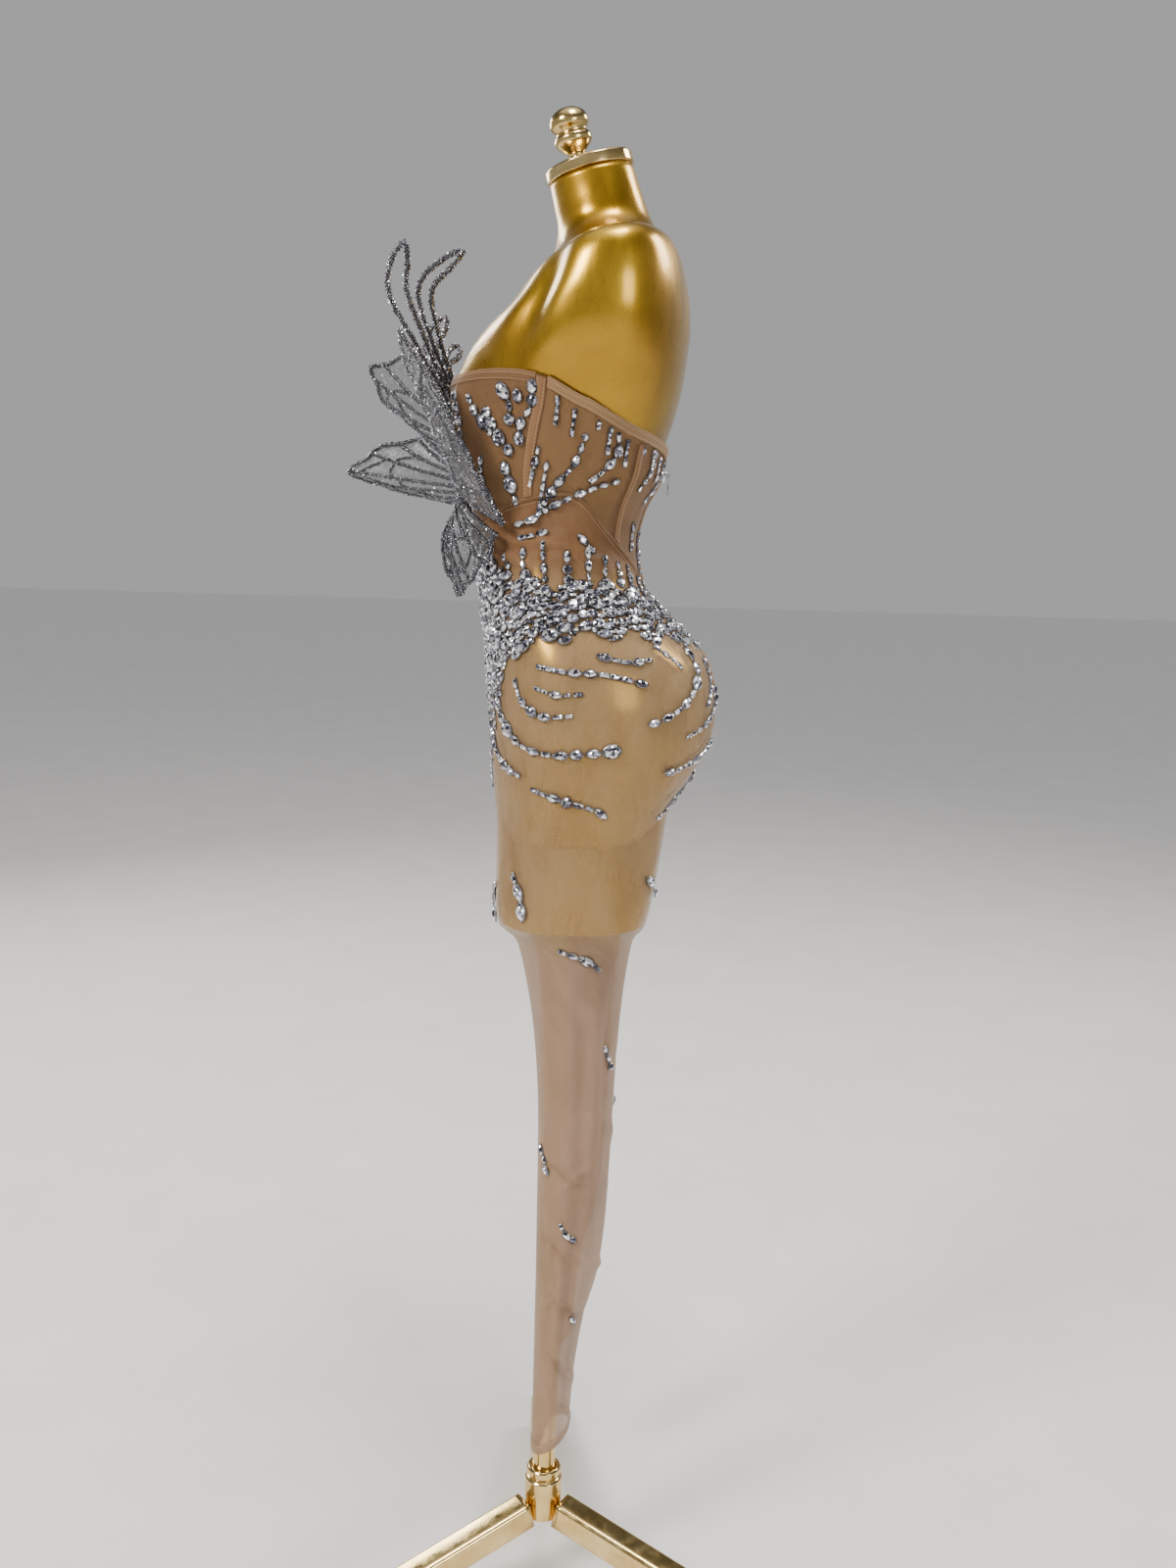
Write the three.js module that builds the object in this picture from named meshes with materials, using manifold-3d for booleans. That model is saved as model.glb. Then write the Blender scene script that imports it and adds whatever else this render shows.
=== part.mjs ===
// A strapless stage jumpsuit of sheer stretch mesh with crystals and a beaded butterfly, standing on a
// limbless dress form with a pole and a tripod. Millimetres, +Z up. The garment faces -Y and the
// wearer's left side is +X. The tables below are in a frame with the form's centre line at x = 0 and
// the floor at z = 0, and the last lines move everything so that the origin is below the middle.

import * as THREE from 'three';
import Module from 'manifold-3d';
import { mergeVertices } from 'three/addons/utils/BufferGeometryUtils.js';

const wasm = await Module();
wasm.setup();

// Driving dimensions
const WALL = 1.2;
const SEAM_GAP = 0.3;
const LAY_GAP = 0.5;
const FORM_INSET = 1.8;
const RIM_Z = 757;
const RIM_FILLET = 6;
const CROTCH_Z = 850;
const CROTCH_RISE = 26;
const CORNER_ANGLE = 45;
const HEM_Z = { left: 172, right: 192 };
const HEM_SLANT = { left: 14, right: 18 };
const POLE = { x: 84, radius: 12.5, bottom: 102, sleeve: [661, 669], sleeveWall: 1.5 };
const STONE_RELIEF = 2.4;
const NECK = { centreY: 13, z: 1510, radius: 45, tilt: 16.2, gap: 0.6, capHeight: 13.2, finialY: -9 };
// The seams between the panels, and the channels over them, in degrees round from the centre front
const SEAMS = { front: 71, back: 132, half: 0.14 };
const CHANNEL = { width: 4.8, thickness: 1.4, dropFront: 1, dropBack: 12, overlap: 3 };
const BINDING = { rises: [1, -4, -8.5], thickness: 1.6 };
const ZIP = { top: 1226, bottom: 985, width: 9, tape: 1.1, sliderZ: 1214, sliderGap: 0.6 };
const HALF_COLUMNS = 24;
const BODICE_ROWS = 10;
const HIP_ROWS = 16;

const rad = THREE.MathUtils.degToRad;
const lerp = THREE.MathUtils.lerp;
const clamp = THREE.MathUtils.clamp;

function table(columns, rows) {
  return rows.map(row => Object.fromEntries(columns.map((name, i) => [name, row[i]])));
}

// The cloth's inner face round the torso, a row for each section. front and back are depths, side is
// where the section is widest, and the rises tip a section's front, side and back up or down.
const TORSO = table(
  ['level', 'width', 'front', 'back', 'side', 'power', 'riseFront', 'riseSide', 'riseBack'], [
  [850, 159, -70, 108, 16, 2.4, 0, 0, 0],
  [880, 163, -71, 119, 17, 2.4, 0, 0, 0],
  [910, 168, -73, 138, 18, 2.35, 0, 0, 0],
  [940, 171, -74, 154, 18, 2.3, 0, 0, 0],
  [970, 173, -76, 159, 18, 2.3, 0, 0, 0],
  [1000, 172, -78, 156, 18, 2.3, 0, 0, 0],
  [1030, 166, -80, 144, 16, 2.3, 0, 0, 0],
  [1060, 152, -84, 114, 10, 2.3, 0, 0, 0],
  [1090, 134, -87, 84, 2, 2.25, 0, 0, 0],
  [1120, 120, -90, 73, -4, 2.2, 0, 0, 0],
  [1150, 115, -93, 70, -6, 2.2, 0, 0, 0],
  [1180, 119, -98, 77, -4, 2.2, 0, 0, 0],
  [1210, 127, -106, 92, 0, 2.2, 0, 0, 0],
  [1240, 138, -106, 98, 6, 2.2, 0, 0, 0],
  [1270, 148, -105, 107, 14, 2.2, 0, 0, 0],
  [1300, 161, -107, 114, 22, 2.25, 0, 0, 0],
  [1330, 176, -102, 118, 28, 2.3, 0, 0, 0],
  [1355, 184, -89, 120, 32, 2.3, -3, 4, 2],
  [1380, 185, -68, 117, 35, 2.25, -8, 14, 8],
  [1400, 176, -51, 110, 37, 2.2, -8, 26, 16],
  [1415, 150, -39, 103, 38, 2.1, -9, 22, 19],
  [1428, 112, -29, 97, 38, 2.05, -8, 12, 17],
  [1442, 76, -23, 88, 36, 2, -4, 7, 11],
  [1460, 54, -21, 78, 30, 2, -4, 3, 7],
  [1484, 48, -25, 67, 22, 2, -8, 1, 9],
  [1510, 45, -30, 56, 13, 2, -12.5, 0, 12.5],
]);

// The cloth's inner face round one thigh and leg, at the left.
const LEG = table(
  ['level', 'centre', 'width', 'front', 'back', 'side', 'power'], [
  [140, 85, 29, -13.6, 22, 5, 2],
  [190, 85, 31, -13.6, 26, 7, 2],
  [250, 85, 34, -13.6, 29, 9, 2],
  [320, 85, 37, -13.6, 39, 12, 2],
  [370, 85, 40, -13.6, 52, 16, 2],
  [430, 85, 43, -14, 59, 20, 2],
  [500, 84, 46, -14.5, 62, 22, 2],
  [570, 84, 49, -16, 64, 22, 2],
  [640, 84, 53, -22, 67, 22, 2],
  [690, 84, 57, -30, 71, 20, 2.1],
  [735, 84, 62, -41, 77, 17, 2.2],
  [748, 84, 67, -50, 82, 16, 2.3],
  [757, 84, 71, -61, 90, 14, 2.4],
  [800, 84, 72, -65, 98, 14, 2.4],
  [880, 84, 73, -68, 112, 14, 2.4],
]);

// Heights of the bodice's top edge and of the waist seam, by the angle round from the centre front.
const TOP_EDGE = table(['angle', 'z'], [
  [0, 1287], [22, 1301], [45, 1305], [71, 1298], [90, 1278], [115, 1259], [136, 1250], [180, 1237],
]);
const WAIST_SEAM = table(['angle', 'z'], [
  [0, 1150], [35, 1166], [70, 1184], [96, 1188], [122, 1154], [152, 1122], [180, 1100],
]);

// Where the crystals lie so close that they cover the cloth: on the hips between two heights, and on
// the bodice in patches between two angles and two heights.
const DENSE_BELT = table(['angle', 'low', 'high'], [
  [0, 985, 1140],
  [35, 1000, 1112],
  [70, 1034, 1100],
  [110, 1048, 1102],
  [150, 1036, 1096],
  [180, 1034, 1094],
]);
const DENSE_BELT_END = 166;
const DENSE_PATCHES = table(['from', 'to', 'low', 'high'], [
  [27, 54, 1196, 1290],
  [14, 46, 1100, 1196],
]);

// Drag folds at the waist: ridges from one place to another, with their height and half width.
const DRAG_FOLDS = table(['angleA', 'zA', 'angleB', 'zB', 'height', 'spread'], [
  [48, 1150, 132, 1108, 3.2, 9],
  [40, 1132, 108, 1122, 2.6, 8],
  [56, 1160, 96, 1140, 2.2, 7],
]);

// Long hanging folds of the empty legs, as troughs at an angle round the leg from its front.
const LEG_FOLDS = table(['leg', 'angle', 'depth', 'spread', 'top', 'bottom'], [
  ['left', 66, 3.6, 15, 742, 330],
  ['left', 104, 5.2, 14, 748, 260],
  ['left', 142, 4.4, 13, 738, 470],
  ['left', 196, 5.0, 15, 744, 380],
  ['left', 246, 5.4, 16, 740, 300],
  ['left', 292, 3.4, 13, 735, 420],
  ['right', 34, 4.2, 15, 744, 410],
  ['right', 82, 5.6, 14, 748, 280],
  ['right', 126, 4.6, 15, 736, 340],
  ['right', 176, 5.4, 16, 746, 300],
  ['right', 228, 4.8, 14, 738, 450],
  ['right', 276, 5.2, 16, 742, 270],
]);

const BUST = { x: 66, z: 1276, depth: 22, across: 42, up: 46 };
const SHOULDER_CREASE = { angle: 56, z: 1362, depth: 11, share: 0.7, spread: 9, up: 44 };
const WAIST_STAND_OFF = { z: 1142, depth: 5.5, up: 40, sideShare: 0.55 };

// Butterfly: margins of the wings, from the leading edge round to the trailing edge.
const WINGS = [
  { name: 'wing_upper_left', rootZ: [1260, 1214], cup: 20, margin: [
    [58, -172, 1346], [100, -152, 1320], [130, -122, 1270], [136, -88, 1206], [122, -62, 1160]] },
  { name: 'wing_lower_left', rootZ: [1206, 1180], cup: 15, margin: [
    [114, -70, 1150], [122, -76, 1127], [112, -94, 1104], [92, -106, 1090], [62, -122, 1112]] },
  { name: 'wing_upper_right', rootZ: [1260, 1222], cup: 9, margin: [
    [-88, -186, 1338], [-114, -226, 1327], [-128, -216, 1296], [-124, -186, 1272], [-100, -164, 1256]] },
  { name: 'wing_lower_right', rootZ: [1214, 1180], cup: 7, margin: [
    [-116, -172, 1252], [-148, -220, 1244], [-152, -256, 1217], [-114, -196, 1196], [-58, -136, 1184]] },
];
const FEELERS = [
  { name: 'feeler_left_outer', width: 9, spine: [
    [3.5, -117, 1268], [22, -150, 1330], [66, -174, 1388], [92, -163, 1423]] },
  { name: 'feeler_left_inner', width: 7, spine: [
    [3.5, -118, 1286], [14, -138, 1336], [46, -148, 1390], [80, -108, 1419]] },
  { name: 'feeler_right_outer', width: 7, spine: [
    [-3.5, -117, 1268], [-46, -154, 1322], [-96, -152, 1364], [-108, -143, 1382]] },
  { name: 'feeler_right_inner', width: 6, spine: [
    [-3.5, -118, 1286], [-34, -136, 1320], [-82, -132, 1340], [-98, -129, 1352]] },
];
const FEELER_WIRE = { radius: 1.9, rootHalf: 2.7, count: 20, sides: 5 };
const WING_SHEET = {
  spokes: 8, rings: 5, rootX: 2, rootY: 5, back: -0.7, front: 0.5, vein: 1.3, notch: 0.95,
};
const BUTTERFLY_BODY = {
  halfWidth: 7, top: 1296, bottom: 1172, gap: 1, edge: 1.4, crown: 9, taper: 0.55, bend: 1.12,
};

const STAND_LEGS = [-58, 62, 182];
const STAND_LEG = { width: 30, height: 28, reach: 282, slope: 13.5, hubZ: 92, corner: 6 };
const HUB = { radius: 20.5, bottom: 76, top: 123, collarRadius: 19, collarTop: 135 };
const FOOT = { radius: 13, radial: 262, height: 34 };

// Materials
const finish = {
  gold: { color: 0xb08a2e, roughness: 0.32, metalness: 0.75 },
  brass: { color: 0xc79a3a, roughness: 0.2, metalness: 1 },
  mesh: { color: 0xc08c62, roughness: 0.6, metalness: 0 },
  binding: { color: 0xc89468, roughness: 0.7, metalness: 0 },
  silver: { color: 0xb9bcc4, roughness: 0.25, metalness: 0.8 },
  organza: { color: 0x9aa0a2, roughness: 0.45, metalness: 0.2 },
  rubber: { color: 0x1c1c1e, roughness: 0.8, metalness: 0 },
};

// The values of a table between its rows, on a smooth curve through them.
function at(rows, key, value) {
  let i = 0;
  while (i < rows.length - 2 && rows[i + 1][key] < value) i += 1;
  const before = rows[Math.max(i - 1, 0)];
  const a = rows[i];
  const b = rows[i + 1];
  const after = rows[Math.min(i + 2, rows.length - 1)];
  const span = b[key] - a[key];
  const t = clamp((value - a[key]) / span, 0, 1);
  const result = {};
  for (const name of Object.keys(a)) {
    const slopeA = (b[name] - before[name]) / (b[key] - before[key]) * span;
    const slopeB = (after[name] - a[name]) / (after[key] - a[key]) * span;
    const t2 = t * t;
    const t3 = t2 * t;
    result[name] = (2 * t3 - 3 * t2 + 1) * a[name] + (t3 - 2 * t2 + t) * slopeA
      + (3 * t2 - 2 * t3) * b[name] + (t3 - t2) * slopeB;
  }
  result[key] = value;
  return result;
}

function bell(distance, spread) {
  return Math.exp(-((distance / spread) ** 2));
}

// A point on a rounded section: angle 0 is its front, 90 degrees its outer side, 180 its back.
function sectionPoint(section, angle, centre = 0) {
  const power = 2 / section.power;
  const sine = Math.sin(angle);
  const cosine = Math.cos(angle);
  const depth = (cosine >= 0 ? section.front : section.back) - section.side;
  const x = centre + section.width * Math.sign(sine) * Math.abs(sine) ** power;
  const y = section.side + depth * Math.abs(cosine) ** power;
  return new THREE.Vector3(x, y, section.level);
}

// A point on the torso at an angle in radians round from the centre front.
function torsoPoint(angle, level) {
  const row = at(TORSO, 'level', level);
  const point = sectionPoint(row, angle);
  const mean = (row.riseFront + row.riseBack) / 2;
  point.z += (mean + row.riseSide) / 2 + (row.riseFront - row.riseBack) / 2 * Math.cos(angle)
    + (mean - row.riseSide) / 2 * Math.cos(2 * angle);
  const frontness = clamp(Math.cos(angle) * 3, 0, 1);
  const besideBust = bell(Math.abs(point.x) - BUST.x, BUST.across);
  point.y -= frontness * BUST.depth * besideBust * bell(level - BUST.z, BUST.up);
  const creaseAngle = rad(SHOULDER_CREASE.angle);
  const crease = SHOULDER_CREASE.depth * bell(Math.abs(angle) - creaseAngle, rad(SHOULDER_CREASE.spread))
    * bell(level - SHOULDER_CREASE.z, SHOULDER_CREASE.up);
  point.x -= Math.sign(point.x) * crease * SHOULDER_CREASE.share;
  point.y += crease * SHOULDER_CREASE.share;
  return point;
}

function torsoNormal(angle, level) {
  const nearby = 0.002;
  const round = torsoPoint(angle + nearby, level).sub(torsoPoint(angle - nearby, level));
  const up = torsoPoint(angle, level + 1).sub(torsoPoint(angle, level - 1));
  return round.cross(up).normalize();
}

// Keys run round one half of the body: 0 to 1 is the outside, front to back, and 1 to 2 comes back
// along the inside of the thigh. Above the crotch only 0 to 1 is there.
function legAngle(key) {
  const corner = rad(CORNER_ANGLE);
  if (key <= 1) return -corner + key * (Math.PI + 2 * corner);
  return Math.PI + corner + (key - 1) * (Math.PI - 2 * corner);
}

function crotchLevel(key) {
  const along = key <= 1 ? Math.cos(Math.PI * key) : 2 * (key - 1.5);
  return CROTCH_Z + CROTCH_RISE * along ** 4;
}

function crotchPoint(key) {
  if (key <= 1) return torsoPoint(Math.PI * key, crotchLevel(key));
  const front = torsoPoint(0, CROTCH_Z + CROTCH_RISE);
  const back = torsoPoint(Math.PI, CROTCH_Z + CROTCH_RISE);
  return new THREE.Vector3(0, lerp(back.y, front.y, key - 1), crotchLevel(key));
}

// A point on the thigh, from the rim at t = 0 to the crotch at t = 1. The inside arches to the crotch
// and the outside runs smoothly into the hip.
function thighPoint(key, t) {
  const level = lerp(RIM_Z, crotchLevel(key), t);
  const low = sectionPoint(at(LEG, 'level', level), legAngle(key), at(LEG, 'level', level).centre);
  const high = crotchPoint(key);
  const edge = key <= 1 ? Math.min(key, 1 - key) : 0;
  const archShare = 1 - THREE.MathUtils.smoothstep(edge, 0, 0.3);
  const smooth = t * t * (3 - 2 * t);
  const arch = 1 - Math.sqrt(1 - t * t);
  const share = lerp(smooth, arch, archShare);
  return new THREE.Vector3(lerp(low.x, high.x, share), lerp(low.y, high.y, share), level);
}

function hemLevel(leg, angle) {
  return HEM_Z[leg] - HEM_SLANT[leg] * Math.cos(angle);
}

// A point on the empty leg below the form's rim, from the hem at t = 0 to the rim at t = 1.
function legPoint(leg, key, t) {
  const angle = legAngle(key);
  const level = lerp(hemLevel(leg, angle), RIM_Z, t);
  const section = at(LEG, 'level', level);
  const point = sectionPoint(section, angle, section.centre);
  const middle = new THREE.Vector3(section.centre, section.side, level);
  let inward = 0;
  for (const fold of LEG_FOLDS) {
    if (fold.leg !== leg) continue;
    const turn = Math.abs(((angle - rad(fold.angle)) / Math.PI + 3) % 2 - 1) * 180;
    const ends = THREE.MathUtils.smoothstep(level, fold.bottom - 90, fold.bottom + 60)
      * (1 - THREE.MathUtils.smoothstep(level, fold.top - 60, fold.top + 10));
    inward += fold.depth * bell(turn, fold.spread) * ends;
  }
  const reach = point.distanceTo(middle);
  return middle.add(point.sub(middle).multiplyScalar(1 - inward / reach));
}

// How far the cloth stands off the skin of the torso: slack over the waist and the drag folds.
function standOff(angle, z) {
  const front = WAIST_STAND_OFF.sideShare + (1 - WAIST_STAND_OFF.sideShare) * Math.cos(angle);
  let off = WAIST_STAND_OFF.depth * bell(z - WAIST_STAND_OFF.z, WAIST_STAND_OFF.up) * front;
  const degrees = Math.abs(THREE.MathUtils.radToDeg(angle));
  for (const fold of DRAG_FOLDS) {
    const t = clamp((degrees - fold.angleA) / (fold.angleB - fold.angleA), 0, 1);
    const ends = Math.sin(Math.PI * clamp(t, 0.02, 0.98)) ** 0.6;
    const inside = degrees > fold.angleA && degrees < fold.angleB ? 1 : 0;
    off += inside * fold.height * ends * bell(z - lerp(fold.zA, fold.zB, t), fold.spread);
  }
  return off;
}

function isDense(angle, z) {
  const degrees = Math.abs(THREE.MathUtils.radToDeg(angle));
  if (degrees > DENSE_BELT_END) return false;
  const belt = at(DENSE_BELT, 'angle', degrees);
  return z > belt.low && z < belt.high;
}

// A net of triangles made row by row. Each spot has its place, its key along the row, and how far the
// cloth's inner and outer faces lie from it.
class Net {
  constructor() {
    this.spots = [];
    this.faces = [];
    this.found = new Map();
  }

  indexOf(spot) {
    const name = spot.place.toArray().map(value => Math.round(value * 1e4)).join(' ');
    if (!this.found.has(name)) {
      this.found.set(name, this.spots.length);
      this.spots.push(spot);
    }
    return this.found.get(name);
  }

  face(a, b, c) {
    if (a !== b && b !== c && a !== c) this.faces.push([a, b, c]);
  }

  // Joins an upper and a lower row whose spots run the same way round, also where their numbers differ.
  band(upper, lower, closed = false) {
    const close = row => (closed ? [...row, { ...row[0], key: row[0].key + 2 }] : row);
    const top = close(upper);
    const low = close(lower);
    let i = 0;
    let j = 0;
    while (i < top.length - 1 || j < low.length - 1) {
      const upperNext = i < top.length - 1 ? top[i + 1].key : Infinity;
      const lowerNext = j < low.length - 1 ? low[j + 1].key : Infinity;
      const a = this.indexOf(top[i]);
      const b = this.indexOf(low[j]);
      if (upperNext < lowerNext - 1e-9) {
        i += 1;
        this.face(a, b, this.indexOf(top[i]));
      } else {
        j += 1;
        this.face(a, b, this.indexOf(low[j]));
      }
    }
  }

  bands(rows, closed = false) {
    for (let i = 0; i < rows.length - 1; i += 1) this.band(rows[i], rows[i + 1], closed);
  }

  normals() {
    const sums = this.spots.map(() => new THREE.Vector3());
    for (const face of this.faces) {
      const [a, b, c] = face.map(index => this.spots[index].place);
      const normal = b.clone().sub(a).cross(c.clone().sub(a));
      for (const index of face) sums[index].add(normal);
    }
    sums.forEach((sum, index) => {
      if (Math.abs(this.spots[index].place.x) < 1e-6) sum.x = 0;
      sum.normalize();
      if (this.spots[index].normal) sum.copy(this.spots[index].normal);
    });
    return sums;
  }

  edges() {
    const seen = new Set(this.faces.flatMap(([a, b, c]) => [`${a} ${b}`, `${b} ${c}`, `${c} ${a}`]));
    return [...seen].map(name => name.split(' ').map(Number)).filter(([a, b]) => !seen.has(`${b} ${a}`));
  }

  // A cloth wall: the outer face, the inner face and the cut edges.
  wall(keepLeft = false) {
    const normals = this.normals();
    const count = this.spots.length;
    const placed = name => this.spots.map((spot, i) => {
      const point = spot.place.clone().addScaledVector(normals[i], spot[name]);
      if (keepLeft) point.x = Math.max(point.x, SEAM_GAP / 2);
      return point;
    });
    const faces = [...this.faces];
    for (const [a, b, c] of this.faces) faces.push([a + count, c + count, b + count]);
    for (const [a, b] of this.edges()) {
      faces.push([b, a, a + count]);
      faces.push([b, a + count, b + count]);
    }
    return geometryFrom([...placed('outer'), ...placed('inner')], faces);
  }
}

function spot(key, place, inner = 0, outer = inner + WALL) {
  return { key, place, inner, outer };
}

// A spot on the torso's cloth, square to the torso, between two distances from the slack cloth's inside.
function torsoSpot(key, angle, z, lift = 0, outer = lift + WALL) {
  const off = standOff(angle, z);
  const made = spot(key, torsoPoint(angle, z), off + lift, off + outer);
  made.normal = torsoNormal(angle, z);
  return made;
}

function geometryFrom(points, faces) {
  const geometry = new THREE.BufferGeometry();
  const values = points.flatMap(p => [p.x, p.y, p.z]);
  geometry.setAttribute('position', new THREE.Float32BufferAttribute(values, 3));
  geometry.setIndex(faces.flat());
  return geometry;
}

function mirrored(geometry) {
  const copy = geometry.clone();
  copy.scale(-1, 1, 1);
  const index = copy.getIndex().array;
  for (let i = 0; i < index.length; i += 3) [index[i], index[i + 1]] = [index[i + 1], index[i]];
  return copy;
}

function toSolid(geometry) {
  const bare = geometry.clone();
  for (const name of Object.keys(bare.attributes)) {
    if (name !== 'position') bare.deleteAttribute(name);
  }
  const merged = mergeVertices(bare, 1e-4);
  return new wasm.Manifold(new wasm.Mesh({
    numProp: 3,
    vertProperties: new Float32Array(merged.attributes.position.array),
    triVerts: new Uint32Array(merged.getIndex().array),
  }));
}

function fromSolid(solid) {
  const mesh = solid.getMesh();
  const geometry = new THREE.BufferGeometry();
  geometry.setAttribute('position', new THREE.BufferAttribute(new Float32Array(mesh.vertProperties), 3));
  geometry.setIndex(new THREE.BufferAttribute(new Uint32Array(mesh.triVerts), 1));
  return geometry;
}

function steps(count, from = 0, to = 1) {
  return Array.from({ length: count + 1 }, (_, i) => lerp(from, to, i / count));
}

const body = new THREE.Group();

function add(name, geometry, look) {
  const mesh = new THREE.Mesh(geometry, new THREE.MeshStandardMaterial({ ...finish[look] }));
  mesh.name = name;
  body.add(mesh);
  return mesh;
}

// The dress form: torso rings, two thigh stubs with rounded rims, and flat ends.
function formGeometry() {
  const outside = steps(14);
  const thighKeys = [...outside, ...steps(5, 1, 2).slice(1, -1)];
  const levels = [1510, 1492, 1475, 1460, 1449, 1440, 1431, 1423, 1415, 1406, 1396, 1385, 1372, 1355,
    ...steps(13, 1330, 940)];
  const ring = pointAt => [
    ...outside.map(key => spot(key, pointAt(key))),
    ...outside.slice(1, -1).map(key => spot(1 + key, acrossMiddle(pointAt(1 - key)))),
  ];
  const net = new Net();
  const rows = levels.map(level => ring(key => torsoPoint(Math.PI * key, level)));
  for (const t of [0.33, 0.67, 1]) {
    rows.push(ring(key => torsoPoint(Math.PI * key, lerp(940, crotchLevel(key), t))));
  }
  net.bands(rows, true);
  const rimShare = key => RIM_FILLET / (crotchLevel(key) - RIM_Z);
  const thighRows = [1, 0.97, 0.88, 0.72, 0.5, 0.26, 0].map(t => (
    thighKeys.map(key => spot(key, thighPoint(key, Math.max(t, rimShare(key)))))
  ));
  const rightRows = thighRows.map(row => row.map(s => spot(-s.key, acrossMiddle(s.place))).reverse());
  net.bands(thighRows, true);
  net.bands(rightRows, true);
  const loops = [rows[0], thighRows.at(-1), rightRows.at(-1)].map(row => row.map(s => net.indexOf(s)));
  const normals = net.normals();
  const points = net.spots.map((s, i) => s.place.clone().addScaledVector(normals[i], -FORM_INSET));
  for (const index of loops[0]) points[index].z += FORM_INSET * normals[index].z;
  closeEnd(points, net.faces, loops[0], [], true);
  const rounded = [[1.6, 1.6], [RIM_FILLET, 0]];
  closeEnd(points, net.faces, loops[1], rounded, false);
  closeEnd(points, net.faces, loops[2], rounded, false);
  return geometryFrom(points, net.faces);
}

function acrossMiddle(point) {
  return new THREE.Vector3(-point.x, point.y, point.z);
}

// Closes an end with rings that step in to a height above the rim, and a flat face.
function closeEnd(points, faces, loop, rounded, top) {
  const middle = loop.reduce((sum, i) => sum.add(points[i]), new THREE.Vector3()).divideScalar(loop.length);
  let last = loop;
  for (const [inset, height] of rounded) {
    const next = loop.map(index => {
      const away = middle.clone().sub(points[index]).setZ(0).setLength(inset);
      points.push(points[index].clone().add(away).setZ(RIM_Z + height));
      return points.length - 1;
    });
    last.forEach((a, i) => {
      const b = (i + 1) % last.length;
      faces.push([a, next[i], next[b]], [a, next[b], last[b]]);
    });
    last = next;
  }
  points.push(top ? middle : middle.setZ(RIM_Z));
  const hub = points.length - 1;
  last.forEach((a, i) => {
    const b = last[(i + 1) % last.length];
    faces.push(top ? [hub, a, b] : [a, hub, b]);
  });
}

// One lower piece, from the waist seam to the hem: half the hip as an open sheet, then the leg as a tube.
function lowerGeometry(leg) {
  const outside = steps(HALF_COLUMNS);
  const inside = steps(7, 1, 2).slice(1, -1);
  const net = new Net();
  const hipRows = steps(HIP_ROWS).map((t, row) => outside.map((key, column) => {
    const angle = Math.PI * key;
    const seam = at(WAIST_SEAM, 'angle', 180 * key).z - LAY_GAP;
    const z = lerp(seam, crotchLevel(key), t);
    const stone = (row + column) % 2 === 0 && row > 0 && isDense(angle, z);
    return torsoSpot(key, angle, z, 0, WALL + (stone ? STONE_RELIEF : 0));
  }));
  net.bands(hipRows);
  const thighKeys = [...outside, ...inside];
  const thighRows = [1, 0.94, 0.8, 0.58, 0.3, 0].map(t => (
    thighKeys.map(key => spot(key, thighPoint(key, t)))
  ));
  net.bands(thighRows, true);
  const legKeys = [...steps(15), ...steps(5, 1, 2).slice(1, -1)];
  const heights = [0.985, 0.962, 0.93, 0.87, ...steps(9, 0.79, 0)];
  const legRows = heights.map(t => legKeys.map(key => spot(key, legPoint(leg, key, t))));
  net.bands([thighRows.at(-1), ...legRows], true);
  const geometry = net.wall(true);
  return leg === 'left' ? geometry : mirrored(geometry);
}

// A bodice panel between two angles in degrees, from the top edge to the waist seam.
function panelGeometry(from, to, keepLeft) {
  const whole = steps(2 * HALF_COLUMNS, -180, 180).filter(degrees => degrees > from && degrees < to);
  const columns = [from, ...whole, to];
  const rows = steps(BODICE_ROWS).map((t, row) => columns.map((degrees, column) => {
    const angle = rad(degrees);
    const top = at(TOP_EDGE, 'angle', Math.abs(degrees)).z;
    const low = at(WAIST_SEAM, 'angle', Math.abs(degrees)).z;
    const z = lerp(top, low, t);
    const stone = (row + column) % 2 === 0 && row < BODICE_ROWS && isDenseOnBodice(degrees, z);
    return torsoSpot(degrees, angle, z, 0, WALL + (stone ? STONE_RELIEF : 0));
  }));
  const net = new Net();
  net.bands(rows);
  return net.wall(keepLeft);
}

function isDenseOnBodice(degrees, z) {
  const side = Math.abs(degrees);
  return DENSE_PATCHES.some(({ from, to, low, high }) => side > from && side < to && z > low && z < high);
}

// A strip that lies on the bodice or the hip. Its rows give angles and heights.
function stripGeometry(rows, thickness, keepLeft = false) {
  const low = WALL + LAY_GAP;
  const net = new Net();
  net.bands(rows.map(row => row.map(({ key, angle, z }) => (
    torsoSpot(key, angle, z, low, low + thickness)
  ))));
  return net.wall(keepLeft);
}

function channelGeometry(degrees, topDrop) {
  const rows = steps(BODICE_ROWS).map(t => [-0.5, 0.5].map(side => {
    const place = degrees + side * CHANNEL.width;
    const top = at(TOP_EDGE, 'angle', place).z - topDrop;
    const low = at(WAIST_SEAM, 'angle', place).z + CHANNEL.overlap;
    return { key: side, angle: rad(place), z: lerp(top, low, t) };
  }));
  return stripGeometry(rows, CHANNEL.thickness);
}

function bindingGeometry() {
  const from = SEAMS.front + CHANNEL.width * 0.6;
  const edge = angle => at(TOP_EDGE, 'angle', angle).z;
  const rows = BINDING.rises.map(rise => steps(13, from, 180).map(degrees => (
    { key: degrees, angle: rad(degrees), z: edge(degrees) + rise }
  )));
  return stripGeometry(rows, BINDING.thickness, true);
}

// The angle at which the back of the torso is a given distance to the left of the middle.
function backAngle(x, z) {
  const row = at(TORSO, 'level', z);
  return Math.PI - Math.asin((x / row.width) ** (row.power / 2));
}

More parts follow.
